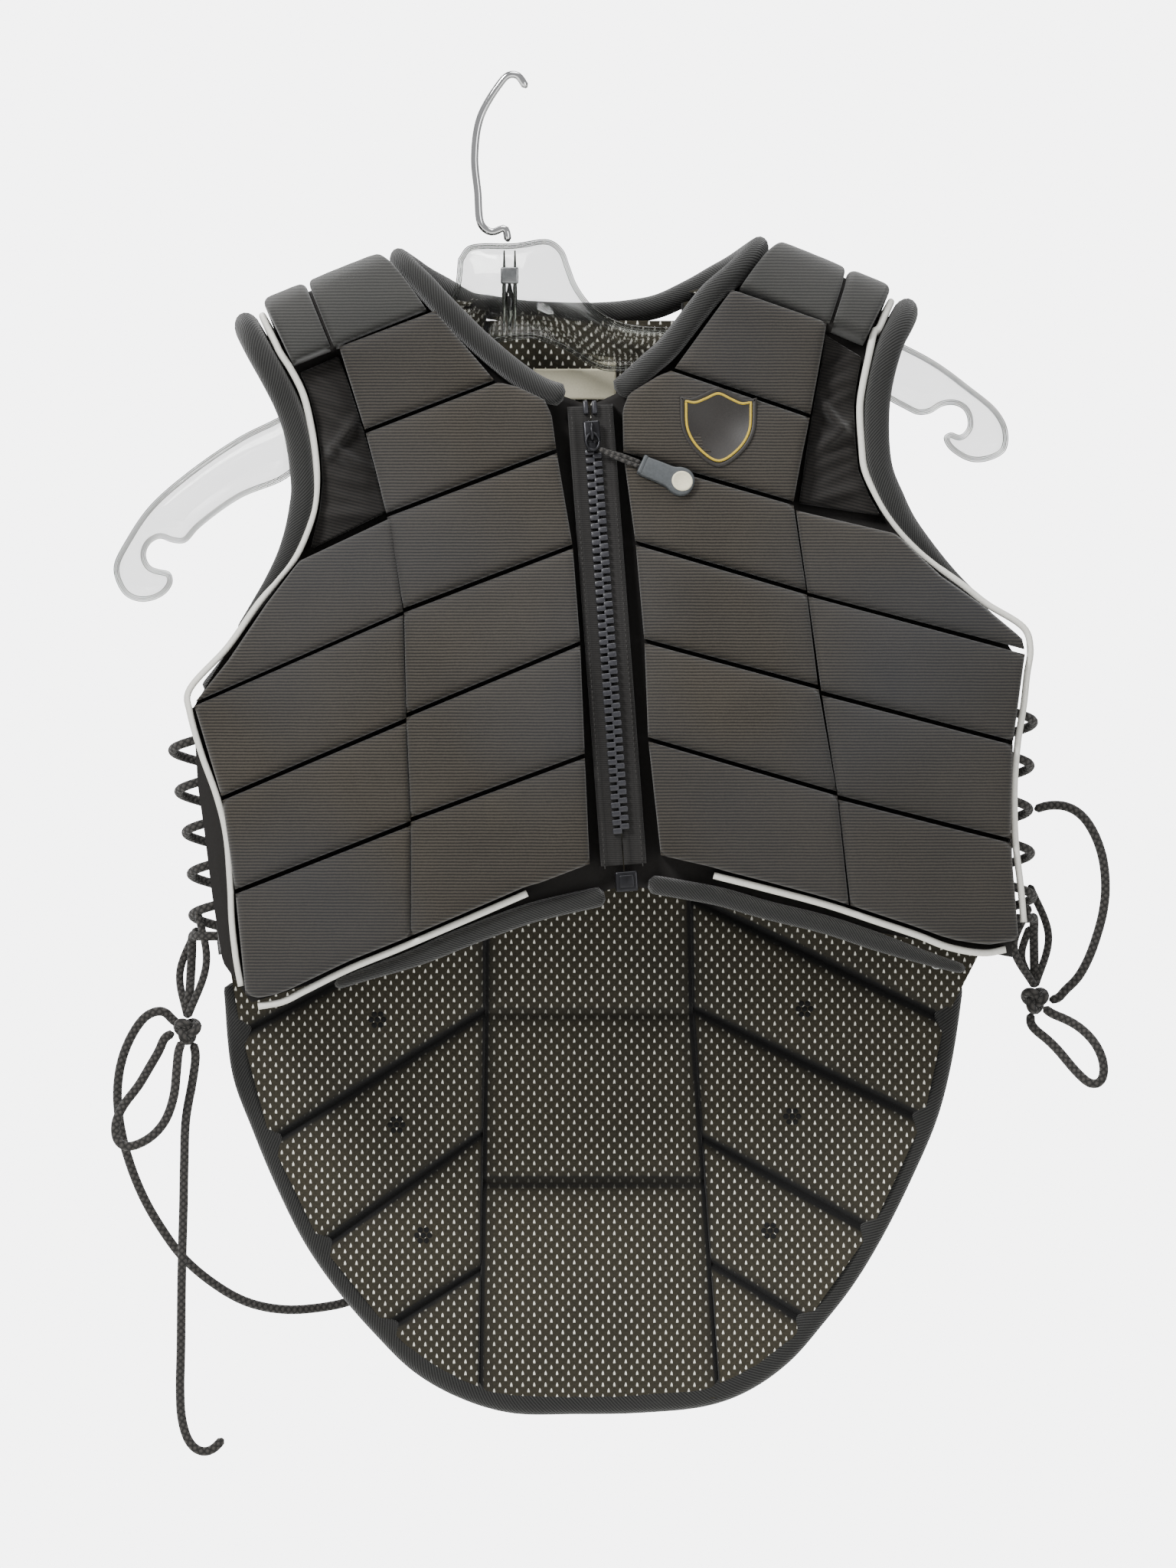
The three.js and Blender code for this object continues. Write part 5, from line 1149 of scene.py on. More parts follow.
def piping():
    for side in SIDES:
        over = strap_keys(side, "piping")[1:-1][::-1]
        edge = over + keys_on(PIPING[f"edge_{side}"], FRONT)
        hem = keys_on(PIPING[f"hem_{side}"], FRONT)
        for name, keys in (("edge", edge), ("hem", hem)):
            piece = strip(f"piping_tape_{name}_{side}", keys, bead(3.3 * MM, -FOAM, -5.2 * MM), dome=0)
            finished(piece, FINISH["piping"], "piping", f"piping_{name}_{side}")


# Linings, spine and wings
def zip_spot(down, offset=0.0):
    share = (down - ZIP[0][1]) / (ZIP[1][1] - ZIP[0][1])
    across = ZIP[0][0] + share * (ZIP[1][0] - ZIP[0][0])
    x, z = spots([(across, down)])[0]
    return x + offset, z


def lacing_tab(side, face):
    out = SIGN[side] * face * LACING[side][2]
    half = LINING / 2
    root = LINING_TOP - 0.2 * MM
    foot = root - TAB_REACH
    section = [(out + half, foot), (half, root), (-half, root), (out - half, foot)]
    return coated(strip(f"tab_{side}_{face}", keys_on(LACING_EDGE[side], face), section, dome=0), "twill")


def grid_area(p):
    """The area of a grid of points."""
    one = np.cross(p[1:, 1:] - p[:-1, :-1], p[1:, :-1] - p[:-1, 1:])
    return float(np.linalg.norm(one, axis=-1).sum() / 2)


def two_sided(piece, outside, inside):
    """A shell's outer half and rim take one material and its inner half another."""
    total = len(piece.data.vertices) // 2
    piece.data.materials.append(outside)
    piece.data.materials.append(inside)
    index = [1 if all(v >= total for v in face.vertices) else 0 for face in piece.data.polygons]
    piece.data.polygons.foreach_set("material_index", index)


def front_linings():
    for side in SIDES:
        offset = SIGN[side] * 0.3 * MM
        outer_side = spots(SIDE_FRONT[side])
        arm = [outer_side[-1], *spots(ARM_FRONT[side])[::-1]]
        zip_low = [zip_spot(0.556, offset), zip_spot(0.3, offset)]
        neck = [zip_spot(0.3, offset), zip_spot(0.15, offset), *spots(NECK_FRONT[side])]
        low, high = np.linspace(0, 1, 40), np.linspace(0, 1, 40)[1:]
        outer = np.concatenate([line_at(outer_side, low), line_at(arm, high)])
        inner = np.concatenate([line_at(zip_low, low), line_at(neck, high)])
        straps = [[strap_spot(side, row[k] * reach * SHOULDER_RADIUS, row[0]) for row in STRAP[1:]]
                  for k, reach in ((2, ARM_REACH[side]), (1, 1))]
        turns = np.linspace(0, 1, 30)
        outer = np.concatenate([outer, line_at(straps[0], turns)])
        inner = np.concatenate([inner, line_at(straps[1], turns)])
        share = np.linspace(0, 1, 40)[None, :, None]
        place = outer[:, None] * (1 - share) + inner[:, None] * share
        wave = 0.5 * MM * cloth_ripple(place, 40 * MM, 4)
        top = on_vest(place[..., 0], place[..., 1], LINING_TOP, FRONT)
        low_face = on_vest(place[..., 0], place[..., 1], LINING_LOW + wave, FRONT)
        sheet = shell(f"lining_sheet_{side}", top, low_face, place)
        # The sheet's top face, seen only between the pads, is near-black as painted shade of the channels
        two_sided(sheet, FINISH["channel_shade"], FINISH["mesh"])
        piece = joined(f"lining_{side}", sheet, lacing_tab(side, FRONT))
        finished(piece, None, "lining_mesh", f"front_lining_{side}")


PILLOW = 2.2 * MM
CREASE_REACH = 2.6 * MM
# How far the painted shade beside a seam reaches
SHADE_REACH = 5 * MM
EDGE_ROUND = 3 * MM
# Shares across a wing where its foam starts to thin, and where the foam behind a lacing tab ends
THINS_AT = 0.86
TAB_FOAM_END = 0.87
TAB_FOAM_FADE = 0.03


def quilt_grid(lines, crease_depth, seam_and_shade_rows, foam_end):
    """Places between the lines, with their distance from the nearest crease, that crease's depth and
    shade, and the share to which the foam ends there."""
    count = len(lines[0])
    place, from_crease, deep, seam_and_shade_on, end = [], [], [], [], []
    for k in range(len(lines) - 1):
        gap = np.linalg.norm(lines[k + 1] - lines[k], axis=1)
        b = near_edges(float(gap.mean()), 2.4 * MM)
        if k < len(lines) - 2:
            b = b[:-1]
        for share in b:
            nearest = k if share < 0.5 else k + 1
            place.append(lines[k] * (1 - share) + lines[k + 1] * share)
            from_crease.append(min(share, 1 - share) * gap)
            deep.append(np.full(count, crease_depth[nearest]))
            seam_and_shade_on.append(np.full(count, seam_and_shade_rows[nearest]))
            end.append(np.full(count, foam_end[k] * (1 - share) + foam_end[k + 1] * share))
    return [np.array(v) for v in (place, from_crease, deep, seam_and_shade_on, end)]


def seam_shade(from_crease, seam_and_shade_on, sewn, seam_width):
    """How dark the lining is painted: black along its seams, partly as painted shade in their grooves,
    and painted shade beside them. sewn has the distances from each sewn edge."""
    shade = np.clip((seam_width + 1.4 * MM - from_crease) / (0.6 * MM), 0, 1) * seam_and_shade_on
    shade = np.maximum(shade, 0.5 * np.exp(-(from_crease / SHADE_REACH) ** 2) * seam_and_shade_on)
    for away in sewn:
        shade = np.maximum(shade, np.clip((seam_width + 0.6 * MM - away) / (0.5 * MM), 0, 1))
        shade = np.maximum(shade, 0.5 * np.exp(-(away / SHADE_REACH) ** 2))
    return shade


def quilted_back(name, rows, crease_depth, seam_and_shade_rows, foam_end, edges, seam_width=1.5 * MM):
    """A quilted section of the back. rows are lines from one edge to the other, with a crease at
    each but the first and last. Its outer face is knit and its inner face is spacer mesh."""
    span = line_length(rows[len(rows) // 2])
    columns = near_edges(span, 3.0 * MM)
    lines = [line_at(row, columns) for row in rows]
    place, from_crease, deep, seam_and_shade_on, end = quilt_grid(lines, crease_depth, seam_and_shade_rows, foam_end)
    from_start = np.broadcast_to((columns * span)[None, :], deep.shape)
    from_end = np.broadcast_to(((1 - columns) * span)[None, :], deep.shape)
    sewn = [away for is_sewn, away in zip(edges, (from_start, from_end)) if is_sewn]
    valley = np.exp(-(from_crease / CREASE_REACH) ** 2)
    puckers = 0.25 * MM * cloth_ripple(place, 6 * MM, 8) * np.exp(-from_crease / (5 * MM))
    wave = 0.5 * MM * cloth_ripple(place, 34 * MM, 6) + puckers
    outer = -deep * valley + wave
    from_edge = np.minimum(from_start if edges[0] else 1.0, from_end if edges[1] else 1.0)
    rest = np.exp(-(np.minimum(from_crease, from_edge) / (11 * MM)) ** 2)
    inner = LINING_LOW + deep * 0.8 * valley + wave - PILLOW * (1 - rest)
    for away in sewn:
        outer = outer - rounding(away, EDGE_ROUND)
        inner = inner + rounding(away, EDGE_ROUND)
    share = columns[None, :]
    if not edges[1]:
        fade = np.clip((share - THINS_AT) / (1 - THINS_AT), 0, 1)
        outer = outer + fade * fade * (TAIL_EDGE - outer)
    thin = end * np.clip((share - TAB_FOAM_END) / TAB_FOAM_FADE, 0, 1)
    outer = outer + thin * (LINING_TOP - outer)
    top = on_vest(place[..., 0], place[..., 1], outer, BACK)
    low = on_vest(place[..., 0], place[..., 1], inner, BACK)
    # The inner face's seam values: black seam lines, partly painted shade, and painted shade beside them
    seam = seam_shade(from_crease, seam_and_shade_on, sewn, seam_width)
    piece = shell(name, top, low, place)
    layer = piece.data.attributes.new("seam", "FLOAT", "POINT")
    layer.data.foreach_set("value", np.concatenate([0 * seam.ravel(), seam.ravel()]).astype(np.float32))
    two_sided(piece, FINISH["quilted"], FINISH["mesh"])
    return piece


def spine_edge(side, down):
    column = 1 if side == "right" else 2
    rows = SPINE[:-2] + SPINE[-1:]
    return float(np.interp(down, [row[0] for row in rows], [row[column] for row in rows]))


def back():
    downs = [row[0] for row in SPINE[:-2]] + [SPINE[-1][0]]
    downs[0] -= NECK_LAP
    rows = [spots([(spine_edge("right", down), down), (spine_edge("left", down), down)]) for down in downs]
    depth = [0] + [4 * MM] * (len(rows) - 2) + [0]
    depth[-3] = 2 * MM
    none = [0] * len(rows)
    # How dark each crease's seam line and the painted shade beside it are on the spine
    shade = [0] + [0.7] * (len(rows) - 2) + [0]
    shade[-3] = 0.4
    piece = quilted_back("back_spine_quilt", rows, depth, shade, none, (True, True), 1.6 * MM)
    finished(piece, None, "quilted_fabric", "back_spine", fill=0.7)
    for side in SIDES:
        shift = -SIGN[side] * CHANNEL_LAP / 2
        rows = [spots([(row[0], row[1] - NECK_LAP) for row in WING_TOP[side][:2]] + WING_TOP[side][2:])]
        for down, across, low in WING_GROOVES[side]:
            rows.append(spots([(spine_edge(side, down), down), (across, low)]))
        foot = WING_FOOT[side]
        rows.append(spots([(spine_edge(side, foot[0][1]), foot[0][1]), *foot[1:]]))
        rows = [[(row[0][0] + shift, row[0][1]), *row[1:]] for row in rows]
        count = len(rows)
        flap = [1 if 3 <= i <= 5 else 0 for i in range(count)]
        inner = [0] + [1] * (count - 2) + [0]
        # Each inner groove of a wing gets a full black seam line and painted shade beside it
        wing = quilted_back(f"wing_{side}", rows, [5 * MM * v for v in inner], inner, flap, (True, False))
        piece = joined(f"back_wing_quilt_{side}", wing, lacing_tab(side, BACK))
        finished(piece, None, "quilted_fabric", f"back_wing_{side}", fill=0.7)


front_pads()
shoulder_pads()
stretch_insets()
rolls()
piping()
front_linings()
back()


# Laces and knots
def lacing_centre(side, share):
    start, stop, lean = LACING[side]
    down = start + (stop - start) * share
    rows = LACING_EDGE[side]
    across = float(np.interp(down, [row[1] for row in rows], [row[0] for row in rows]))
    x, z = spots([(across, down)])[0]
    return x + SIGN[side] * lean * 1.4, z


# Spare strands from the lacing to the knot: rise, bow and depth in millimetres
STRANDS = {"right": [(14, 7, -6), (4, -6, 5)], "left": [(6, -9, -7), (16, 8, 6), (-4, -5, 3)]}
STRAND_RADIUS = 0.42 * LACE
STEPS_A_TURN = 12
LAST_STEPS = 7
KNOT_CORD = 2.2 * MM
KNOT_SPREAD = np.array([1.7, 3.2, 1.7]) * MM


def towards(last, knot, share, depth):
    """A point at a share of the way from the last turn to the knot, at a depth of its own."""
    return np.array([last[0] + (knot[0] - last[0]) * share, depth,
                     last[2] + (knot[2] - last[2]) * share])


def lace_turns(side):
    """The lace wound through both tabs, round the side's edge."""
    count = LACE_TURNS * STEPS_A_TURN
    turns = []
    for i in range(count + LAST_STEPS):
        angle = i / STEPS_A_TURN * 2 * math.pi
        x, z = lacing_centre(side, min(1, i / count))
        turns.append(np.array([x - SIGN[side] * LACE_REACH * math.cos(angle) + VEST_X,
                               -LACE_REACH * math.sin(angle), z + VEST_Z]))
    return turns


def spare_strands(side, last, knot):
    strands = []
    for k, (rise, bow, out) in enumerate(STRANDS[side]):
        foot = knot + np.array([0, 0, KNOT * 0.45])
        head = last + np.array([-SIGN[side] * 2 * MM, out * MM, rise * MM])
        half = (foot + head) / 2 + np.array([bow * MM, out * MM, 0])
        line = smooth_line([head, half, foot], 1.5 * MM)
        strands.append(round_bar(f"strand_{side}_{k}", line, STRAND_RADIUS, 12))
    return strands


def laces():
    for side in SIDES:
        turns = lace_turns(side)
        knot, last = KNOT_MIDDLE[side], turns[-1]
        ends = from_knot(side, knot + np.array([0, 1 * MM, 4 * MM]))[::-1]
        way = [towards(last, knot, 0.2, 4 * MM), towards(last, knot, 0.42, 5 * MM),
               towards(last, knot, 0.6, knot[1] + 3 * MM)]
        bar = round_bar(f"lace_bar_{side}", smooth_line([*turns, *way, *ends], 1.5 * MM), LACE / 2, 14)
        piece = joined(f"braid_lace_{side}", bar, *spare_strands(side, last, knot))
        finished(piece, FINISH["cord"], "cord", f"lace_{side}")
        t = np.linspace(0, 2 * math.pi, 90)
        wound = np.stack([np.sin(t) + 2 * np.sin(2 * t), -np.sin(3 * t),
                          np.cos(t) - 2 * np.cos(2 * t)], axis=1)
        piece = round_bar(f"braid_knot_{side}", knot + wound * KNOT_SPREAD, KNOT_CORD, 12, ends=False)
        finished(piece, FINISH["cord"], "cord", f"knot_{side}")


laces()


# Zip
ZIP_PITCH = 4.1 * MM
TOOTH = (4.5 * MM, 2.6 * MM, 2.7 * MM)
TAPE_LEVEL = -9.5 * MM


def zip_line(first, last):
    downs = np.linspace(first, last, 60)
    keys = [(*zip_spot(d), FRONT, 0.0) for d in downs[::6]]
    return strip_frames(keys, TAPE_LEVEL + 1.2 * MM, ZIP_PITCH / 2)


def rounded_box(name, size, bevel, segments=2):
    """A bevelled box about the origin."""
    work = bmesh.new()
    bmesh.ops.create_cube(work, size=1)
    bmesh.ops.scale(work, vec=size, verts=work.verts)
    bmesh.ops.bevel(work, geom=work.edges[:] + work.verts[:], offset=bevel, segments=segments,
                    affect="EDGES", profile=0.6)
    mesh = bpy.data.meshes.new(name)
    work.to_mesh(mesh)
    work.free()
    mesh.shade_smooth()
    return mesh


def along_tree(copy, material):
    """Copies of a small shape at every point of a mesh, turned by its tangent and outward
    directions, with named inputs for their size."""
    tree = bpy.data.node_groups.new("copies_along", "GeometryNodeTree")
    face = tree.interface
    face.new_socket("Geometry", in_out="INPUT", socket_type="NodeSocketGeometry")
    face.new_socket("Size", in_out="INPUT", socket_type="NodeSocketFloat").default_value = 1.0
    face.new_socket("Geometry", in_out="OUTPUT", socket_type="NodeSocketGeometry")
    source = tree.nodes.new("NodeGroupInput")
    info = tree.nodes.new("GeometryNodeObjectInfo")
    info.inputs["Object"].default_value = copy
    tangent = add(tree, "GeometryNodeInputNamedAttribute", {"Name": "tangent"}, data_type="FLOAT_VECTOR")
    out = add(tree, "GeometryNodeInputNamedAttribute", {"Name": "outward"}, data_type="FLOAT_VECTOR")
    turn = add(tree, "FunctionNodeAxesToRotation", {"Primary Axis": tangent, "Secondary Axis": out},
               primary_axis="Z", secondary_axis="Y")
    points = add(tree, "GeometryNodeMeshToPoints", {"Mesh": source.outputs["Geometry"]})
    many = add(tree, "GeometryNodeInstanceOnPoints", {
        "Points": points, "Instance": info.outputs["Geometry"], "Rotation": turn,
        "Scale": source.outputs["Size"]})
    real = add(tree, "GeometryNodeRealizeInstances", {0: many})
    painted = add(tree, "GeometryNodeSetMaterial", {"Geometry": real, "Material": material})
    sink = tree.nodes.new("NodeGroupOutput")
    tree.links.new(painted, sink.inputs["Geometry"])
    return tree


def copies(name, shape, points, tangents, outwards, material, size=1.0):
    """One mesh of copies of a shape. Its Y axis points outwards and its Z axis along the line."""
    small = bpy.data.objects.new(f"{name}_shape", shape)
    bpy.context.scene.collection.objects.link(small)
    base = mesh_piece(f"{name}_points", points, [])
    for key, values in (("tangent", tangents), ("outward", outwards)):
        layer = base.data.attributes.new(key, "FLOAT_VECTOR", "POINT")
        layer.data.foreach_set("vector", np.asarray(values, np.float32).ravel())
    tree = along_tree(small, material)
    modifier = base.modifiers.new("copies", "NODES")
    modifier.node_group = tree
    inputs = {item.name: item.identifier for item in tree.interface.items_tree if item.in_out == "INPUT"}
    modifier[inputs["Size"]] = size
    bpy.context.view_layer.update()
    made = bpy.data.meshes.new_from_object(base.evaluated_get(bpy.context.evaluated_depsgraph_get()))
    made.name = name
    for obj in (base, small):
        bpy.data.objects.remove(obj)
    obj = bpy.data.objects.new(name, made)
    bpy.context.scene.collection.objects.link(obj)
    return obj


def zip_bands():
    keys = [(*zip_spot(down), FRONT, 0.0) for down in (0.15, 0.25, 0.35, 0.45, 0.539)]
    flat = TAPE_LEVEL
    low = -FOAM
    for side, sign in (("right", 1), ("left", -1)):
        profile = [
            (10.8, low), (10.8, flat - 1.2 * MM), (10.2, flat + 0.4 * MM), (9.0, flat + 0.9 * MM),
            (8.0, flat + 0.5 * MM), (7.6, flat - 0.3 * MM), (3.4, flat - 0.1 * MM), (3.2, flat + 0.5 * MM),
            (0.25, flat + 0.5 * MM), (0.25, low),
        ]
        section = [(sign * across * MM, high) for across, high in profile]
        band = strip(f"zip_tape_{side}", keys, section, dome=0)
        finished(band, FINISH["tape"], "zip_tape", f"zip_band_{side}")
    line, aside, out, _ = zip_line(0.19, 0.54)
    tangent = np.gradient(line, axis=0)
    for side, first, sign in (("right", 0, -1), ("left", 1, 1)):
        pick = slice(first, None, 2)
        lean = aside[pick] * np.sign((aside[pick] * np.array([1.0, 0, 0])).sum(1, keepdims=True))
        places = line[pick] + sign * 1.75 * MM * lean + 0.3 * MM * out[pick]
        shape = rounded_box("tooth", TOOTH, 0.55 * MM)
        row = copies(f"zip_teeth_{side}", shape, places, tangent[pick], out[pick], FINISH["teeth"])
        finished(row, None, "dark_metal")


zip_bands()


# Small parts on the front
def local_frame(spot, height, face=FRONT, turn=0.0):
    """Origin and axes on the vest at a pattern place: aside, outward and upward."""
    x, z = spot
    middle = on_vest(x, z, height, face)
    out = skin_normal(np.array(x), np.array(z), np.array(height), face)
    up = on_vest(x, z + MM, height, face) - middle
    up -= out * (up @ out)
    up /= np.linalg.norm(up)
    aside = np.cross(up, out)
    cos, sin = math.cos(turn), math.sin(turn)
    return middle, aside * cos - up * sin, out, up * cos + aside * sin


def settled(mesh, place):
    """Moves a small mesh, drawn with x aside, y outward and z up, to its place on the vest."""
    middle, aside, out, up = place
    flat = np.empty(len(mesh.vertices) * 3)
    mesh.vertices.foreach_get("co", flat)
    local = flat.reshape(-1, 3)
    moved = middle + local[:, :1] * aside + local[:, 1:2] * out + local[:, 2:] * up
    mesh.vertices.foreach_set("co", moved.ravel())
    mesh.update()
    obj = bpy.data.objects.new(mesh.name, mesh)
    bpy.context.scene.collection.objects.link(obj)
    return outward(obj)


def slab(name, outline, levels):
    """A moulded plate: the outline drawn in by each step of levels, (inset, height) from the back up."""
    outline = np.asarray(outline, float)
    before, after = outline - np.roll(outline, 1, axis=0), np.roll(outline, -1, axis=0) - outline
    turned = [np.stack([-v[:, 1], v[:, 0]], axis=1) / np.linalg.norm(v, axis=1, keepdims=True)
              for v in (before, after)]
    inward = turned[0] + turned[1]
    inward /= np.maximum((inward ** 2).sum(1, keepdims=True) / 2, 0.6)
    x, z = outline.T
    if (x * np.roll(z, -1) - np.roll(x, -1) * z).sum() <= 0:
        inward = -inward
    count = len(outline)
    points = []
    for inset, height in levels:
        ring = outline + inward * inset
        points += [(x, height, z) for x, z in ring]
    index = grid_index(len(levels), count)
    index = np.hstack([index, index[:, :1]])
    faces = [tuple(f) for f in grid_quads(index)]
    faces += [tuple(index[0, :-1][::-1]), tuple(index[-1, :-1])]
    made = outward(mesh_piece(name, points, faces))
    mesh = made.data
    bpy.data.objects.remove(made)
    work = bmesh.new()
    work.from_mesh(mesh)
    bmesh.ops.triangulate(work, faces=[f for f in work.faces if len(f.verts) > 4])
    work.to_mesh(mesh)
    work.free()
    mesh.shade_smooth()
    return mesh


def closed_curve(rows, step):
    """A smooth closed outline through the rows, with a corner at the first."""
    return smooth_line([*rows, rows[0]], step)[:-1]


def ring_bar(name, place, radius, thickness, squash=1.0, sides=10, count=36):
    """A closed ring in the plane of aside and up."""
    middle, aside, out, up = place
    angle = np.linspace(0, 2 * math.pi, count + 1)
    line = middle + radius * (np.cos(angle)[:, None] * aside + squash * np.sin(angle)[:, None] * up)
    return round_bar(name, line, thickness / 2, sides, ends=False)


SLIDER_SPOT = zip_spot(SLIDER_DOWN)
GRIP_KEYS = [(0.004, 0.187, -3.6), (0.03, 0.191, -2.0), (0.06, 0.195, 1.4), (0.105, 0.201, 2.6)]
GRIP_END = (0.227, 0.219)
NOSE_DROP = 7 * MM
# Sizes aside, outward and upward
GRIP_COLLAR = (2.2 * MM, 4.4 * MM, 9.6 * MM)
SLIDER_BODY = (8 * MM, 3.4 * MM, 11 * MM)
SLIDER_NOSE = (5.2 * MM, 3.0 * MM, 5 * MM)
BOX_BODY = (10.6 * MM, 8.0 * MM, 9.6 * MM)
BOX_LIP = (7.0 * MM, 1.4 * MM, 6.0 * MM)
TOP_STOP = (2.4 * MM, 3.0 * MM, 6.5 * MM)


def zip_fittings():
    tilt = -math.atan((ZIP[1][0] - ZIP[0][0]) * HALF_CHEST / ((ZIP[1][1] - ZIP[0][1]) * VEST_LENGTH))
    body = settled(rounded_box("slider_body", SLIDER_BODY, 1.2 * MM, 3),
                   local_frame(SLIDER_SPOT, -5.4 * MM, turn=tilt))
    nose = settled(rounded_box("slider_nose", SLIDER_NOSE, 1.2 * MM, 3),
                   local_frame((SLIDER_SPOT[0], SLIDER_SPOT[1] - NOSE_DROP), -5.2 * MM, turn=tilt))
    middle, aside, out, up = local_frame(SLIDER_SPOT, -3.9 * MM, turn=tilt)
    turns = np.linspace(0, math.pi, 16)
    bridge = middle + (np.cos(turns)[:, None] * 4.2 * up + np.sin(turns)[:, None] * 2.6 * out) * MM
    bridge = round_bar("slider_bridge", bridge, 0.9 * MM, 10)
    tab = ring_bar("slider_ring", (middle - 5.2 * MM * up + 1.8 * MM * out, aside, out, up), 3.1 * MM,
                   1.3 * MM, 1.35)
    finished(joined("zip_slider_casting", body, nose, bridge, tab), FINISH["casting"], "dark_metal",
             "zip_slider")
    place = local_frame(spots([ZIP_BOX])[0], -12.5 * MM, turn=tilt)
    box = settled(rounded_box("box_body", BOX_BODY, 1.1 * MM, 3), place)
    middle, aside, out, up = place
    lip = settled(rounded_box("box_lip", BOX_LIP, 0.6 * MM, 2),
                  (middle + 3.9 * MM * out, aside, out, up))
    finished(joined("zip_box_casting", box, lip), FINISH["casting"], "dark_metal", "zip_bottom_box")
    stops = []
    for sign in (-1, 1):
        x, z = zip_spot(0.152)
        stops.append(settled(rounded_box(f"stop_{sign}", TOP_STOP, 0.7 * MM, 2),
                             local_frame((x + sign * 2.1 * MM, z), -7.6 * MM, turn=tilt)))
    finished(joined("zip_top_stops", *stops), FINISH["teeth"], "dark_metal")


def puller():
    keys = [(*spots([(across, down)])[0], lift * MM) for across, down, lift in GRIP_KEYS]
    strands = []
    for sign in (-1, 1):
        line = [on_vest(x, z + sign * min(1.0, k / 2) * 1.1 * MM, lift, FRONT)
                for k, (x, z, lift) in enumerate(keys)]
        strands.append(round_bar(f"strand_{sign}", smooth_line(line, 1.2 * MM), 1.0 * MM, 10))
    near, far = spots([GRIP_KEYS[-1][:2]])[0], spots([GRIP_END])[0]
    lean = math.atan2(far[1] - near[1], far[0] - near[0])
    place = local_frame(((near[0] + far[0]) / 2, (near[1] + far[1]) / 2), 2.7 * MM, turn=-lean)
    shape = [(-13, 4.4), (-13.6, 0), (-13, -4.4), (-4, -5.0), (2, -5.4), (5, -6.6), (9, -6.8), (12.4, -4.6),
             (13.8, 0), (12.4, 4.6), (9, 6.8), (5, 6.6), (2, 5.4), (-4, 5.0)]
    outline = closed_curve([(x * MM, z * MM) for x, z in shape], 0.9 * MM)
    low, high = -2.0 * MM, 2.0 * MM
    body = settled(slab("grip_body", outline, [
        (0.8 * MM, low), (0.25 * MM, low + 0.35 * MM), (0, low + 1.0 * MM), (0, high - 1.0 * MM),
        (0.3 * MM, high - 0.3 * MM), (1.0 * MM, high)]), place)
    middle, aside, out, up = place
    turns = np.linspace(0, 2 * math.pi, 40, endpoint=False)
    disc = [(5.0 * math.cos(t) * MM, 4.9 * math.sin(t) * MM) for t in turns]
    end = settled(slab("grip_end", disc, [(0, 0), (0, 0.45 * MM), (0.3 * MM, 0.7 * MM),
                                          (0.9 * MM, 0.75 * MM), (1.2 * MM, 0.45 * MM)]),
                  (middle + 7.9 * MM * aside + (high - 0.3 * MM) * out, aside, out, up))
    band = settled(rounded_box("grip_collar", GRIP_COLLAR, 0.8 * MM, 2),
                   (middle - 12.4 * MM * aside, aside, out, up))
    parts = [coated(body, "grip"), coated(end, "patch"), coated(band, "grip"),
             *[coated(strand, "cord") for strand in strands]]
    finished(joined("zip_puller_grip", *parts), None, "rubber", "zip_puller")


BADGE_SIZE = (37 * MM, 39 * MM)
SHIELD = [
    (-0.5, 0.38), (-0.36, 0.36), (-0.2, 0.42), (0, 0.5), (0.2, 0.42), (0.36, 0.36), (0.5, 0.38),
    (0.47, -0.05), (0.3, -0.32), (0, -0.5), (-0.3, -0.32), (-0.47, -0.05),
]


def shield_outline(scale, step):
    """The shield with its two top corners kept sharp."""
    rows = [(x * BADGE_SIZE[0] * scale, z * BADGE_SIZE[1] * scale) for x, z in SHIELD]
    top = smooth_line(rows[:7], step)
    low = smooth_line(rows[6:] + rows[:1], step)
    return np.vstack([top[:-1], low[:-1]])[::-1]


def badge():
    place = local_frame(spots([BADGE_PLACE])[0], 1.9 * MM)
    middle, aside, out, up = place
    rim = [(0, -1.2), (0, 0.3), (0.35, 0.8), (1.5, 0.8), (1.9, 0.35)]
    levels = [(inset * MM, height * MM) for inset, height in rim]
    base = settled(slab("badge_base", shield_outline(1, 1.3 * MM), levels), place)
    ring = shield_outline(0.84, 1.0 * MM)
    ring = np.vstack([ring, ring[:1]])
    line = middle + ring[:, :1] * aside + ring[:, 1:] * up + 0.42 * MM * out
    line = round_bar("badge_line", line, 0.62 * MM, 8, ends=False)
    finished(joined("badge_patch", coated(base, "badge"), coated(line, "line")), None, "cream_patch",
             "badge")


def neck_label():
    (left, top), (right, low) = spots(LABEL_CORNERS)
    a, b = np.linspace(0, 1, 30)[None, :, None], np.linspace(0, 1, 14)[:, None, None]
    place = np.concatenate([left + (right - left) * a + 0 * b, top + (low - top) * b + 0 * a], axis=-1)
    wave = 0.35 * MM * cloth_ripple(place, 11 * MM, 2)
    high = on_vest(place[..., 0], place[..., 1], LINING_LOW - PILLOW - 0.3 * MM + wave, BACK)
    deep = on_vest(place[..., 0], place[..., 1], LINING_LOW - PILLOW - 1.1 * MM + wave, BACK)
    finished(shell("woven_neck_label", high, deep, place), FINISH["patch"], "cream_patch", "neck_label")


zip_fittings()
puller()
badge()
neck_label()


# Details that repeat
def photo_spot(px, py):
    """The pattern place under a pixel of the photo, on a surface that faces the camera squarely."""
    scale = PHOTO_HIGH / PHOTO_ROWS
    return (px - PHOTO_ORIGIN[0]) * scale - VEST_X, (PHOTO_ORIGIN[1] - py) * scale - VEST_Z


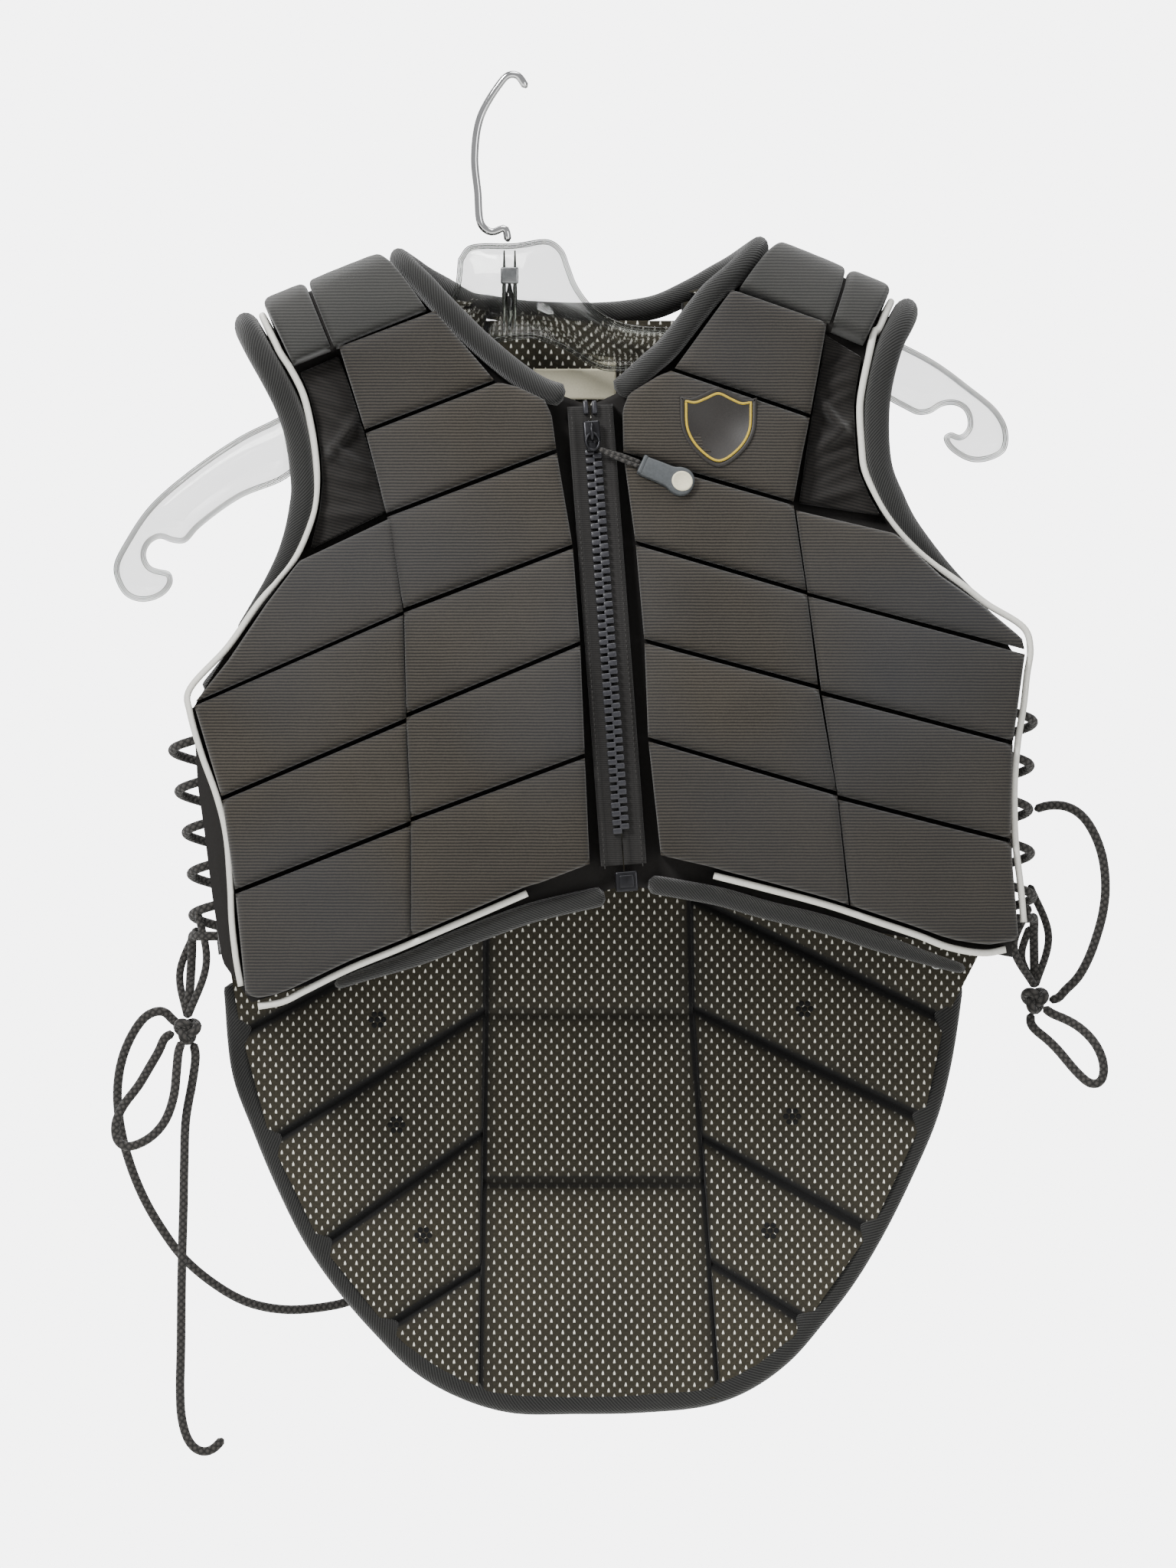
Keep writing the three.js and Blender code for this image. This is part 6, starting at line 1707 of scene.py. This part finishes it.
def stitches():
    """Stitch rows on the turned edges of the zip tapes."""
    thread = rounded_box("stitch", (0.5 * MM, 0.5 * MM, 1.7 * MM), 0.2 * MM, 1)
    line, aside, out, _ = strip_frames([(*zip_spot(d), FRONT, 0.0) for d in np.linspace(0.16, 0.54, 9)],
                                       TAPE_LEVEL + 0.9 * MM, 2.6 * MM)
    tangent = np.gradient(line, axis=0)
    points = np.concatenate([line + sign * 9.0 * MM * aside for sign in (-1, 1)])
    row = copies("zip_tape_stitches", thread, points, np.tile(tangent, (2, 1)), np.tile(out, (2, 1)),
                 FINISH["thread"])
    finished(row, None, "zip_tape")


VENTS = [(492, 1333), (517, 1471), (552, 1616), (1052, 1319), (1036, 1460), (1007, 1610)]
EYELET = (1225, 1258)
# Holes round the middle one of a vent, their distance from it in millimetres, and their radius
VENT_RING = 6
VENT_REACH = 3.0
VENT_HOLE = 1.4 * MM


def on_inside(px, py):
    """The lining point that the camera sees at a pixel of the photo, and its direction outwards."""
    x, z = photo_spot(px, py)
    start = Vector((x + VEST_X, 0, z + VEST_Z))
    for side in SIDES:
        wing = bpy.data.objects[f"back_wing_quilt_{side}"]
        hit, place, normal, _ = wing.ray_cast(start, Vector((0, 1, 0)))
        if hit:
            return np.array(place), np.array(normal)
    raise ValueError("no lining under the pixel")


def vents():
    """Punched vent holes in the lining, seven small dark ones to a rosette, and a lacing eyelet."""
    bpy.context.view_layer.update()
    points, tangents, outs = [], [], []
    per_mm = PHOTO_ROWS / PHOTO_HIGH * MM
    for px, py in VENTS:
        for k in range(VENT_RING + 1):
            turn = k / VENT_RING * 2 * math.pi
            reach = 0 if k == VENT_RING else VENT_REACH * per_mm
            middle, out = on_inside(px + reach * math.cos(turn), py + reach * math.sin(turn))
            points.append(middle)
            tangents.append(np.array([0, 0, 1.0]) - out * out[2])
            outs.append(out)
    work = bmesh.new()
    bmesh.ops.create_uvsphere(work, u_segments=12, v_segments=6, radius=VENT_HOLE)
    bmesh.ops.scale(work, vec=(1, 0.3, 1), verts=work.verts)
    mesh = bpy.data.meshes.new("vent_hole")
    work.to_mesh(mesh)
    work.free()
    mesh.shade_smooth()
    holes = copies("lining_vent_holes", mesh, points, tangents, outs, FINISH["hole"])
    finished(holes, None, "lining_mesh")
    middle, out = on_inside(*EYELET)
    up = np.array([0, 0, 1.0]) - out * out[2]
    place = (middle + 0.4 * MM * out, np.cross(up, out), out, up)
    eyelet = ring_bar("lacing_eyelet", place, 2.6 * MM, 1.5 * MM)
    finished(eyelet, FINISH["nickel"], "dark_metal")


stitches()
vents()


# Hanger
HANGER_SPAN = 432 * MM
HANGER_MIDDLE = (1.1 * MM, -86.0 * MM)
HANGER_HALF = 4.5 * MM
HUB_TOP = [(-0.058, 0), (-0.047, 0.014), (0.004, 0.017), (0.043, 0.021), (0.058, 0.01), (0.066, -0.01)]
HUB_LOW = [(0.104, -0.124), (0.061, -0.102), (0.03, -0.09), (0.013, -0.089), (-0.023, -0.095)]
ARM_TOP = {
    "right": [
        (-0.064, -0.039), (-0.091, -0.073), (-0.124, -0.099), (-0.192, -0.137), (-0.256, -0.175),
        (-0.3, -0.197), (-0.357, -0.236), (-0.399, -0.273), (-0.423, -0.307), (-0.439, -0.34),
    ],
    "left": [
        (0.074, -0.03), (0.093, -0.054), (0.125, -0.071), (0.177, -0.076), (0.24, -0.072),
        (0.307, -0.069), (0.35, -0.069), (0.384, -0.075), (0.409, -0.084), (0.437, -0.096),
        (0.472, -0.115), (0.506, -0.14), (0.539, -0.168), (0.55, -0.19),
    ],
}
# Lower edges in millimetres from the hook's top, from the tip inwards, with the notch for a loop
ARM_LOW = {
    "left": [
        (237.6, -178), (230.2, -182.4), (221.7, -183.1), (214.6, -180), (209.6, -175.5), (208.2, -171),
        (211.5, -169), (216, -170.2), (219.6, -166), (218.2, -159), (214, -156.2), (208, -156.4),
        (202, -159.8), (196, -160.6), (189, -157.5), (180, -152.5), (166, -143), (152, -133.5),
        (134, -132.8), (105, -134),
    ],
    "right": [
        (-43.4, -143.2), (-73.4, -159.9), (-92, -177), (-106, -191), (-128.1, -200.5), (-147.6, -214.6),
        (-154.7, -221.8), (-161, -221.6), (-166.6, -219.8), (-171.5, -222.6), (-173.3, -227.9),
        (-171, -232.8), (-166.2, -234.6), (-162, -235.6), (-160.4, -240), (-163, -245.2), (-168.5, -248.8),
        (-176, -250), (-183, -247.2), (-187.3, -240.5),
    ],
}


def hanger_spots(rows):
    return [(HANGER_MIDDLE[0] + x * HANGER_SPAN, HANGER_MIDDLE[1] + z * HANGER_SPAN) for x, z in rows]


# The plate's face from its rim to its middle, inset and drop in millimetres: rim, groove, ridge, web
PLATE_FACE = [(0.35, 0.0), (0.8, 0.0), (1.15, 0.8), (1.5, 0.8), (1.85, 0.0), (2.2, 0.1), (2.6, 3.2)]
# The steep bands between its levels, counted from the back, which take the grey of painted edge refraction
# and reflection
EDGE_BANDS = (0, 2, 4, 6, 7, 8, 10, 12, 14)
POST_X = 0.6 * MM
POST_APART = 2.6 * MM
CLIP_SIZE = (8.4 * MM, 5.4 * MM, 8.0 * MM)
CLIP_Z = -94 * MM


def upright(name, x, heights, radius, sides):
    """A round post of the hanger's hub, through the heights in millimetres, in the grey of painted edge
    reflection.
    """
    bar = round_bar(name, [(x, 0, z * MM) for z in heights], radius, sides)
    return coated(bar, "clear_edge_reflection")


def hanger():
    low = {side: [(x * MM, z * MM) for x, z in rows] for side, rows in ARM_LOW.items()}
    rows = [*hanger_spots(HUB_TOP), *hanger_spots(ARM_TOP["left"]), *low["left"], *hanger_spots(HUB_LOW),
            *low["right"], *hanger_spots(ARM_TOP["right"])[::-1]]
    outline = closed_curve(rows, 1.5 * MM)
    top = HANGER_HALF
    levels = [(inset * MM, -top + drop * MM) for inset, drop in PLATE_FACE[::-1]]
    levels += [(0.0, -top + 0.5 * MM), (0.0, top - 0.5 * MM)]
    levels += [(inset * MM, top - drop * MM) for inset, drop in PLATE_FACE]
    flat_place = (np.zeros(3), np.array([1.0, 0, 0]), np.array([0, 1.0, 0]), np.array([0, 0, 1.0]))
    body = settled(slab("hanger_plate", outline, levels), flat_place)
    coated(body, "clear")
    coated(body, "clear_edge_reflection")
    for band in EDGE_BANDS:
        for face_number in range(band * len(outline), (band + 1) * len(outline)):
            body.data.polygons[face_number].material_index = 1
    posts = [upright(f"post_{k}", POST_X + k * POST_APART, (-82, -103, -121.5), 1.1 * MM, 12)
             for k in (-1, 1)]
    sleeve = upright("post_sleeve", POST_X, (-98, -106, -120), 2.3 * MM, 16)
    finished(joined("clear_hanger", body, *posts, sleeve), None, "clear_plastic", "hanger_body")
    clip = bpy.data.objects.new("hook_clip", rounded_box("hook_clip", CLIP_SIZE, 0.8 * MM, 2))
    bpy.context.scene.collection.objects.link(clip)
    clip.data.transform(Matrix.Translation((POST_X, 0, CLIP_Z)))
    finished(clip, FINISH["nickel"], "chrome_wire")
    line = smooth_line([(a * HOOK_HEIGHT, 0, u * HOOK_HEIGHT) for a, u in HOOK_PATH], 1.5 * MM)
    hook = round_bar("chromed_hook", line, HOOK_WIRE / 2, 16)
    finished(hook, FINISH["chrome"], "chrome_wire", "hanger_hook")


hanger()


# Room and light
FLOOR_Z = -0.95
FLOOR_REACH = 5.0
AMBIENT = 0.42
BACKGROUND = 6.0
LIGHT_AIM = (0.04, 0, -0.35)
# Place, size and watts of each soft light
LIGHTS = {
    "key": ((-1.4, -1.8, 1.5), (0.7, 0.7), 85),
    "fill": ((1.8, -2.2, 0.0), (1.2, 1.6), 20),
    "top": ((0.3, -0.2, 1.7), (1.4, 0.8), 26),
    "behind": ((-0.6, 1.6, 0.9), (1.2, 1.0), 26),
}


def add_light(name, place, size, watts):
    data = bpy.data.lights.new(name, "AREA")
    data.shape = "RECTANGLE"
    data.size, data.size_y = size
    data.energy = watts
    light = bpy.data.objects.new(name, data)
    light.location = place
    light.rotation_euler = (Vector(LIGHT_AIM) - Vector(place)).to_track_quat("-Z", "Y").to_euler()
    bpy.context.scene.collection.objects.link(light)


def room():
    """A matt floor of pale paint, an even backdrop and soft lights."""
    material, tree, shader = surface("pale_floor_paint")
    set_inputs(tree, shader, {"Base Color": linear("#f4f4f1"), "Roughness": 0.95, "Specular IOR Level": 0.1})
    turns = np.linspace(0, 2 * math.pi, 96, endpoint=False)
    points = [(FLOOR_REACH * math.cos(t), FLOOR_REACH * math.sin(t), FLOOR_Z) for t in turns]
    floor = mesh_piece("pale_floor", points, [tuple(range(len(points)))])
    floor.data.materials.append(material)
    world = bpy.data.worlds.new("studio")
    bpy.context.scene.world = world
    world.use_nodes = True
    tree = world.node_tree
    path = tree.nodes.new("ShaderNodeLightPath")
    seen = add(tree, "ShaderNodeMapRange", {"Value": path.outputs["Is Camera Ray"], "To Min": AMBIENT,
                                            "To Max": BACKGROUND})
    back = tree.nodes["Background"]
    back.inputs["Color"].default_value = linear("#fbfbfc")
    tree.links.new(seen, back.inputs["Strength"])
    for name, (place, size, watts) in LIGHTS.items():
        add_light(name, place, size, watts)


room()
